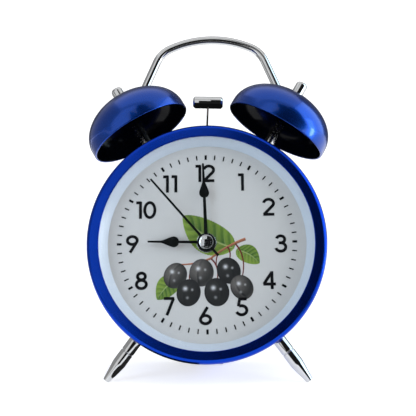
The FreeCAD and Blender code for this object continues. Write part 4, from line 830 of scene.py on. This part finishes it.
def raised_marks(name, strokes, body):
    bm = bmesh.new()
    for order, (path, closed) in enumerate(strokes):
        y = COVER_Y + MARK_LIFT + MARK_LAYER * (order % 3)
        ribbon(bm, [(-u, z) for u, z in path], MARK_WIDTH, y, closed)
    bmesh.ops.solidify(bm, geom=bm.faces[:], thickness=MARK_THICKNESS)
    make_object(name, bm, body, [white_mark], smooth=False)


def word_strokes(word, left):
    """A word beside the switch, from its left edge."""
    low = SWITCH_HEIGHT - WORD_HEIGHT / 2
    strokes = []
    for i, letter in enumerate(word):
        for path, closed in LETTERS[letter]:
            placed = [(left + WORD_HEIGHT * (LETTER_PITCH * i + px), low + WORD_HEIGHT * pz)
                      for px, pz in path]
            strokes.append((placed, closed))
    return strokes


def turn_arrow(axis, start, end):
    """A curved arrow over a knob, with its head at the end angle."""
    cx, cz = axis
    a = math.radians(end)
    b = a - (0.16 if end > start else -0.16)
    tip = (cx + ARROW_RADIUS * math.cos(a), cz + ARROW_RADIUS * math.sin(a))
    strokes = [(ellipse(cx, cz, ARROW_RADIUS, ARROW_RADIUS, start, end), False)]
    for barb in (ARROW_RADIUS * 0.86, ARROW_RADIUS * 1.14):
        strokes.append(([(cx + barb * math.cos(b), cz + barb * math.sin(b)), tip], False))
    return strokes


def build_marks():
    strokes = word_strokes("ON", -11.0) + word_strokes("OFF", 7.0)
    strokes += turn_arrow(TIME_KNOB, 140, 40) + turn_arrow(ALARM_KNOB, 40, 140)
    # A clock face over the time knob
    cx, cz = TIME_KNOB[0], TIME_KNOB[1] + 12.2
    strokes += [(ellipse(cx, cz, 1.9, 1.9), True), ([(cx, cz), (cx, cz + 1.3)], False),
                ([(cx, cz), (cx + 0.95, cz)], False)]
    # A bell over the alarm knob
    cx, cz = ALARM_KNOB[0], ALARM_KNOB[1] + 11.6
    dome = [(cx + 1.9, cz - 1.0), (cx + 1.3, cz - 0.2)] + ellipse(cx, cz + 0.9, 1.3, 1.4, 0, 180, 16)
    strokes += [(dome + [(cx - 1.3, cz - 0.2), (cx - 1.9, cz - 1.0)], True),
                (ellipse(cx, cz - 1.6, 0.5, 0.4, 180, 360, 10), False)]
    raised_marks("cover_marks", strokes, "case")

    # A cell on the battery door, with its plus and its minus
    end, tip = 8.5, 9.7
    cell = [(end, -2.6), (end, 2.6), (-end, 2.6), (-end, 1.1), (-tip, 1.1),
            (-tip, -1.1), (-end, -1.1), (-end, -2.6)]
    plus_and_minus = ([(-6.4, 0), (-4.2, 0)], [(-5.3, -1.1), (-5.3, 1.1)], [(4.4, 0), (6.4, 0)])
    strokes = [([(x, CELL_HEIGHT + z) for x, z in path], path is cell) for path in (cell, *plus_and_minus)]
    raised_marks("door_marks", strokes, "battery_door")


# Finish of the CAD nodes that stay

STAYING = {
    "case_drum": case_blue, "dial_plate": card, "back_cover": cover_plastic, "battery_door": cover_plastic,
    "battery": jacket, "battery_contacts": steel, "cover_screws": steel, "rear_foot": rubber,
    "leg_nuts": steel, "post_nuts": steel, "handle": chrome, "handle_screws": steel, "ringer_bracket": steel,
    "ringer_motor": steel, "motor_pinion": brass, "crank_gear": gear_plastic, "crank_axle": steel,
    "hammer_pivot_pin": steel, "hammer_lever": steel, "hammer_rod": wire_steel, "hammer_head": chrome,
    "movement_front": housing_plastic, "train_bridge": housing_plastic, "movement_rear": housing_plastic,
    "second_wheel": gear_plastic, "centre_wheel": gear_plastic, "hour_wheel": gear_plastic,
    "alarm_wheel": gear_plastic, "third_wheel": gear_plastic, "minute_wheel": gear_plastic,
    "intermediate_wheel": gear_plastic, "rotor": magnet, "stator": steel, "coil": copper,
    "circuit_board": board_green, "alarm_contact": steel, "alarm_pinion": gear_plastic,
    "time_set_knob": knob_plastic, "alarm_set_knob": knob_plastic, "alarm_switch": knob_plastic,
    "switch_body": housing_plastic, "lead_wires": lead_red,
}
# How wide the sharp edges of the solids are eased, in millimetres
BEVELLED = {"case_drum": 0.12, "back_cover": 0.2, "battery_door": 0.15, "rear_foot": 0.4, "hammer_head": 0.12,
            "time_set_knob": 0.12, "alarm_set_knob": 0.12, "alarm_switch": 0.2, "hammer_lever": 0.08,
            "cover_screws": 0.08, "handle_screws": 0.08, "ringer_bracket": 0.08}


def dress_nodes():
    for name, material in STAYING.items():
        obj = NODES[name]
        obj.data.materials.clear()
        obj.data.materials.append(material)
        if name in BEVELLED:
            weld = obj.modifiers.new("weld", "WELD")
            weld.merge_threshold = WELD_DISTANCE
            bevel = obj.modifiers.new("edges", "BEVEL")
            bevel.width = BEVELLED[name] * 0.001
            bevel.segments = 2
            bevel.limit_method = "ANGLE"
            bevel.angle_limit = BEVEL_ANGLE
            bevel.harden_normals = False
            bevel.use_clamp_overlap = True


# Stage, lights and camera

def looked_at(tree):
    """One for the rays that show the backdrop itself, and nought for those that light the clock."""
    path = tree.nodes.new("ShaderNodeLightPath")
    seen = path.outputs["Is Camera Ray"]
    for ray in ("Is Glossy Ray", "Is Transmission Ray"):
        either = tree.nodes.new("ShaderNodeMath")
        either.operation = "MAXIMUM"
        tree.links.new(seen, either.inputs[0])
        tree.links.new(path.outputs[ray], either.inputs[1])
        seen = either.outputs[0]
    return seen


def build_stage():
    """A sheet of pale paper that runs back from the clock and bends up behind it."""
    bm = bmesh.new()
    profile = [(SWEEP_FRONT, 0.0), (SWEEP_BACK, 0.0)]
    profile += ellipse(SWEEP_BACK, SWEEP_BEND, SWEEP_BEND, SWEEP_BEND, -84, 0, 14)
    profile.append((SWEEP_BACK + SWEEP_BEND, SWEEP_TOP))
    rows = [[bm.verts.new((x, y, z)) for x in (-SWEEP_HALF_WIDTH, SWEEP_HALF_WIDTH)] for y, z in profile]
    for a, b in zip(rows, rows[1:]):
        bm.faces.new((a[0], a[1], b[1], b[0]))
    mesh = bpy.data.meshes.new("sweep")
    bm.to_mesh(mesh)
    bm.free()
    for polygon in mesh.polygons:
        polygon.use_smooth = True
    floor = bpy.data.objects.new("sweep", mesh)
    bpy.context.scene.collection.objects.link(floor)
    material, tree, shader = new_material("sweep_paper")
    shader.inputs["Base Color"].default_value = (0.80, 0.80, 0.80, 1.0)
    shader.inputs["Roughness"].default_value = 0.9
    shader.inputs["Specular IOR Level"].default_value = 0.1
    glow = tree.nodes.new("ShaderNodeEmission")
    glow.inputs["Color"].default_value = (1, 1, 1, 1)
    add = tree.nodes.new("ShaderNodeAddShader")
    scale = tree.nodes.new("ShaderNodeMath")
    scale.operation = "MULTIPLY"
    scale.inputs[1].default_value = SWEEP_GLOW
    tree.links.new(looked_at(tree), scale.inputs[0])
    tree.links.new(scale.outputs[0], glow.inputs["Strength"])
    tree.links.new(shader.outputs["BSDF"], add.inputs[0])
    tree.links.new(glow.outputs["Emission"], add.inputs[1])
    tree.links.new(add.outputs["Shader"], tree.nodes["Material Output"].inputs["Surface"])
    mesh.materials.append(material)


def add_light(name, location, target, size, size_y, power, colour=(1, 1, 1), mirrored=True):
    """An area lamp. One that isn't mirrored lights matt surfaces alone, and metal shows a card there."""
    data = bpy.data.lights.new(name, "AREA")
    data.shape = "RECTANGLE"
    data.size = size
    data.size_y = size_y
    data.energy = power
    data.color = colour
    lamp = bpy.data.objects.new(name, data)
    lamp.location = location
    lamp.rotation_euler = (Vector(target) - Vector(location)).to_track_quat("-Z", "Y").to_euler()
    lamp.visible_glossy = mirrored
    bpy.context.scene.collection.objects.link(lamp)


def reflection_card(name, location, target, width, height, level, tint=(1, 1, 1)):
    """A flat card that only reflections see, as a studio sets round polished metal."""
    bm = bmesh.new()
    half_width, half_height = width / 2, height / 2
    corners = ((-half_width, -half_height), (half_width, -half_height), (half_width, half_height),
               (-half_width, half_height))
    bm.faces.new([bm.verts.new((x, y, 0)) for x, y in corners])
    mesh = bpy.data.meshes.new(name)
    bm.to_mesh(mesh)
    bm.free()
    material, _, shader = new_material(name + "_cloth")
    shader.inputs["Base Color"].default_value = (0, 0, 0, 1)
    shader.inputs["Roughness"].default_value = 1.0
    shader.inputs["Specular IOR Level"].default_value = 0.0
    shader.inputs["Emission Color"].default_value = (*tint, 1)
    shader.inputs["Emission Strength"].default_value = level
    mesh.materials.append(material)
    obj = bpy.data.objects.new(name, mesh)
    obj.location = location
    obj.rotation_euler = (Vector(target) - Vector(location)).to_track_quat("-Z", "Y").to_euler()
    bpy.context.scene.collection.objects.link(obj)
    obj.visible_camera = False
    obj.visible_diffuse = False
    obj.visible_shadow = False


# Cards that light the metal: name, place, what each faces, width, height, level and tint
BRIGHT_CARDS = (
    ("window_sky", (1.2, 0.1, 0.62), (0, 0.1, 0.2), 1.7, 1.3, 2.5, (0.66, 0.86, 1.0)),
    ("window_pane", (1.0, -0.26, 0.22), MIDDLE, 0.34, 0.44, 4.5, (0.70, 0.88, 1.0)),
    ("window_glint", (0.42, -0.10, 0.045), MIDDLE, 0.065, 0.07, 16.0, (0.88, 0.94, 1.0)),
)
# Cards that darken it, upright or overhead
DARK_CARDS = (
    ("flag_front", (0.30, -1.1, 0.35), (0.30, 0, 0.35), 1.12, 0.9, 0.015),
    ("flag_upper", (0.36, -1.1, 1.15), (0.36, 0, 1.15), 0.68, 0.7, 0.015),
    ("flag_right", (0.86, -0.86, 0.62), (0, 0, 0.62), 0.62, 1.44, 0.015),
    ("flag_left", (-0.95, 0.25, 0.5), (0, 0.25, 0.1), 2.1, 1.0, 0.42),
    ("flag_right_rear", (0.7, 1.0, 0.5), (0, 0.7, 0.1), 0.9, 1.0, 0.12),
    ("wall_back", (0.0, 0.9, 0.3), (0, 0, 0.3), 1.8, 0.6, 0.12),
    ("ceiling", (0, 0.3, 1.4), (0, 0.3, 0), 3.0, 2.6, 0.6),
    ("wall_rear", (0, 1.3, 1.05), (0, 0, 1.05), 3.0, 1.1, 0.2),
)
# Cards that lie on the table: name, place, width, depth and level
TABLE_CARDS = (
    ("table_left", (-0.62, 0.1, 0.0005), 0.8, 1.0, 0.42),
    # A small dark patch of table under the clock, seen only in reflections: a painted shadow of the clock on
    # the table.
    ("painted_shadow_under", (-0.022, -0.02, 0.0005), 0.036, 0.06, 0.03),
    ("table_near", (0.0, -0.24, 0.0006), 0.5, 0.26, 0.12),
    ("table_far", (0.0, -0.92, 0.0005), 0.8, 1.08, 0.04),
)


def build_lights():
    world = bpy.data.worlds.new("studio")
    bpy.context.scene.world = world
    world.use_nodes = True
    tree = world.node_tree
    background = tree.nodes["Background"]
    background.inputs["Color"].default_value = (1, 1, 1, 1)
    strength = map_range(tree, looked_at(tree), WORLD_STRENGTH, 1.0, 0.0, 1.0)
    tree.links.new(strength, background.inputs["Strength"])
    add_light("window", (1.0, -0.22, 0.3), MIDDLE, 0.85, 0.7, 9.6, (0.88, 0.93, 1.0), False)
    add_light("front_left", (-0.52, -0.46, 0.30), MIDDLE, 0.34, 0.6, 1.8, (0.68, 0.84, 1.0), False)
    add_light("overhead", (0.0, 0.1, 1.25), (0, 0, 0.05), 1.9, 1.4, 3.6)
    for card_values in BRIGHT_CARDS + DARK_CARDS:
        reflection_card(*card_values)
    for name, place, width, depth, level in TABLE_CARDS:
        reflection_card(name, place, (place[0], place[1], -1), width, depth, level)
    # A small dark card under the hammer, so that its head doesn't mirror the case
    lowest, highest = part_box("hammer_head")
    under = Vector(((lowest.x + highest.x) / 2, lowest.y - 0.002, lowest.z - 0.003))
    reflection_card("flag_hammer", under, under + Vector((0, 0, 1)), 0.04, 0.04, 0.008)


def build_camera():
    forward = Vector((math.sin(YAW) * math.cos(PITCH), math.cos(YAW) * math.cos(PITCH), math.sin(PITCH)))
    level = Vector((math.cos(YAW), -math.sin(YAW), 0))
    above = level.cross(forward)
    across = level * math.cos(ROLL) + above * math.sin(ROLL)
    upward = above * math.cos(ROLL) - level * math.sin(ROLL)
    turn = CLOCK.to_3x3().normalized()
    axes = Matrix((turn @ across, turn @ upward, -(turn @ forward))).transposed().to_4x4()
    data = bpy.data.cameras.new("camera")
    data.sensor_width = SENSOR_WIDTH
    data.lens = FOCAL_PIXELS / PICTURE_PIXELS * SENSOR_WIDTH
    data.clip_start = 0.01
    camera = bpy.data.objects.new("camera", data)
    camera.matrix_world = Matrix.Translation(CLOCK @ Vector(EYE)) @ axes
    bpy.context.scene.collection.objects.link(camera)
    bpy.context.scene.camera = camera


build_case()
build_bells()
build_legs()
build_print()
build_sprig()
build_hands()
build_marks()
dress_nodes()
build_stage()
build_lights()
build_camera()
bpy.context.scene.view_settings.view_transform = "Standard"
bpy.context.view_layer.update()
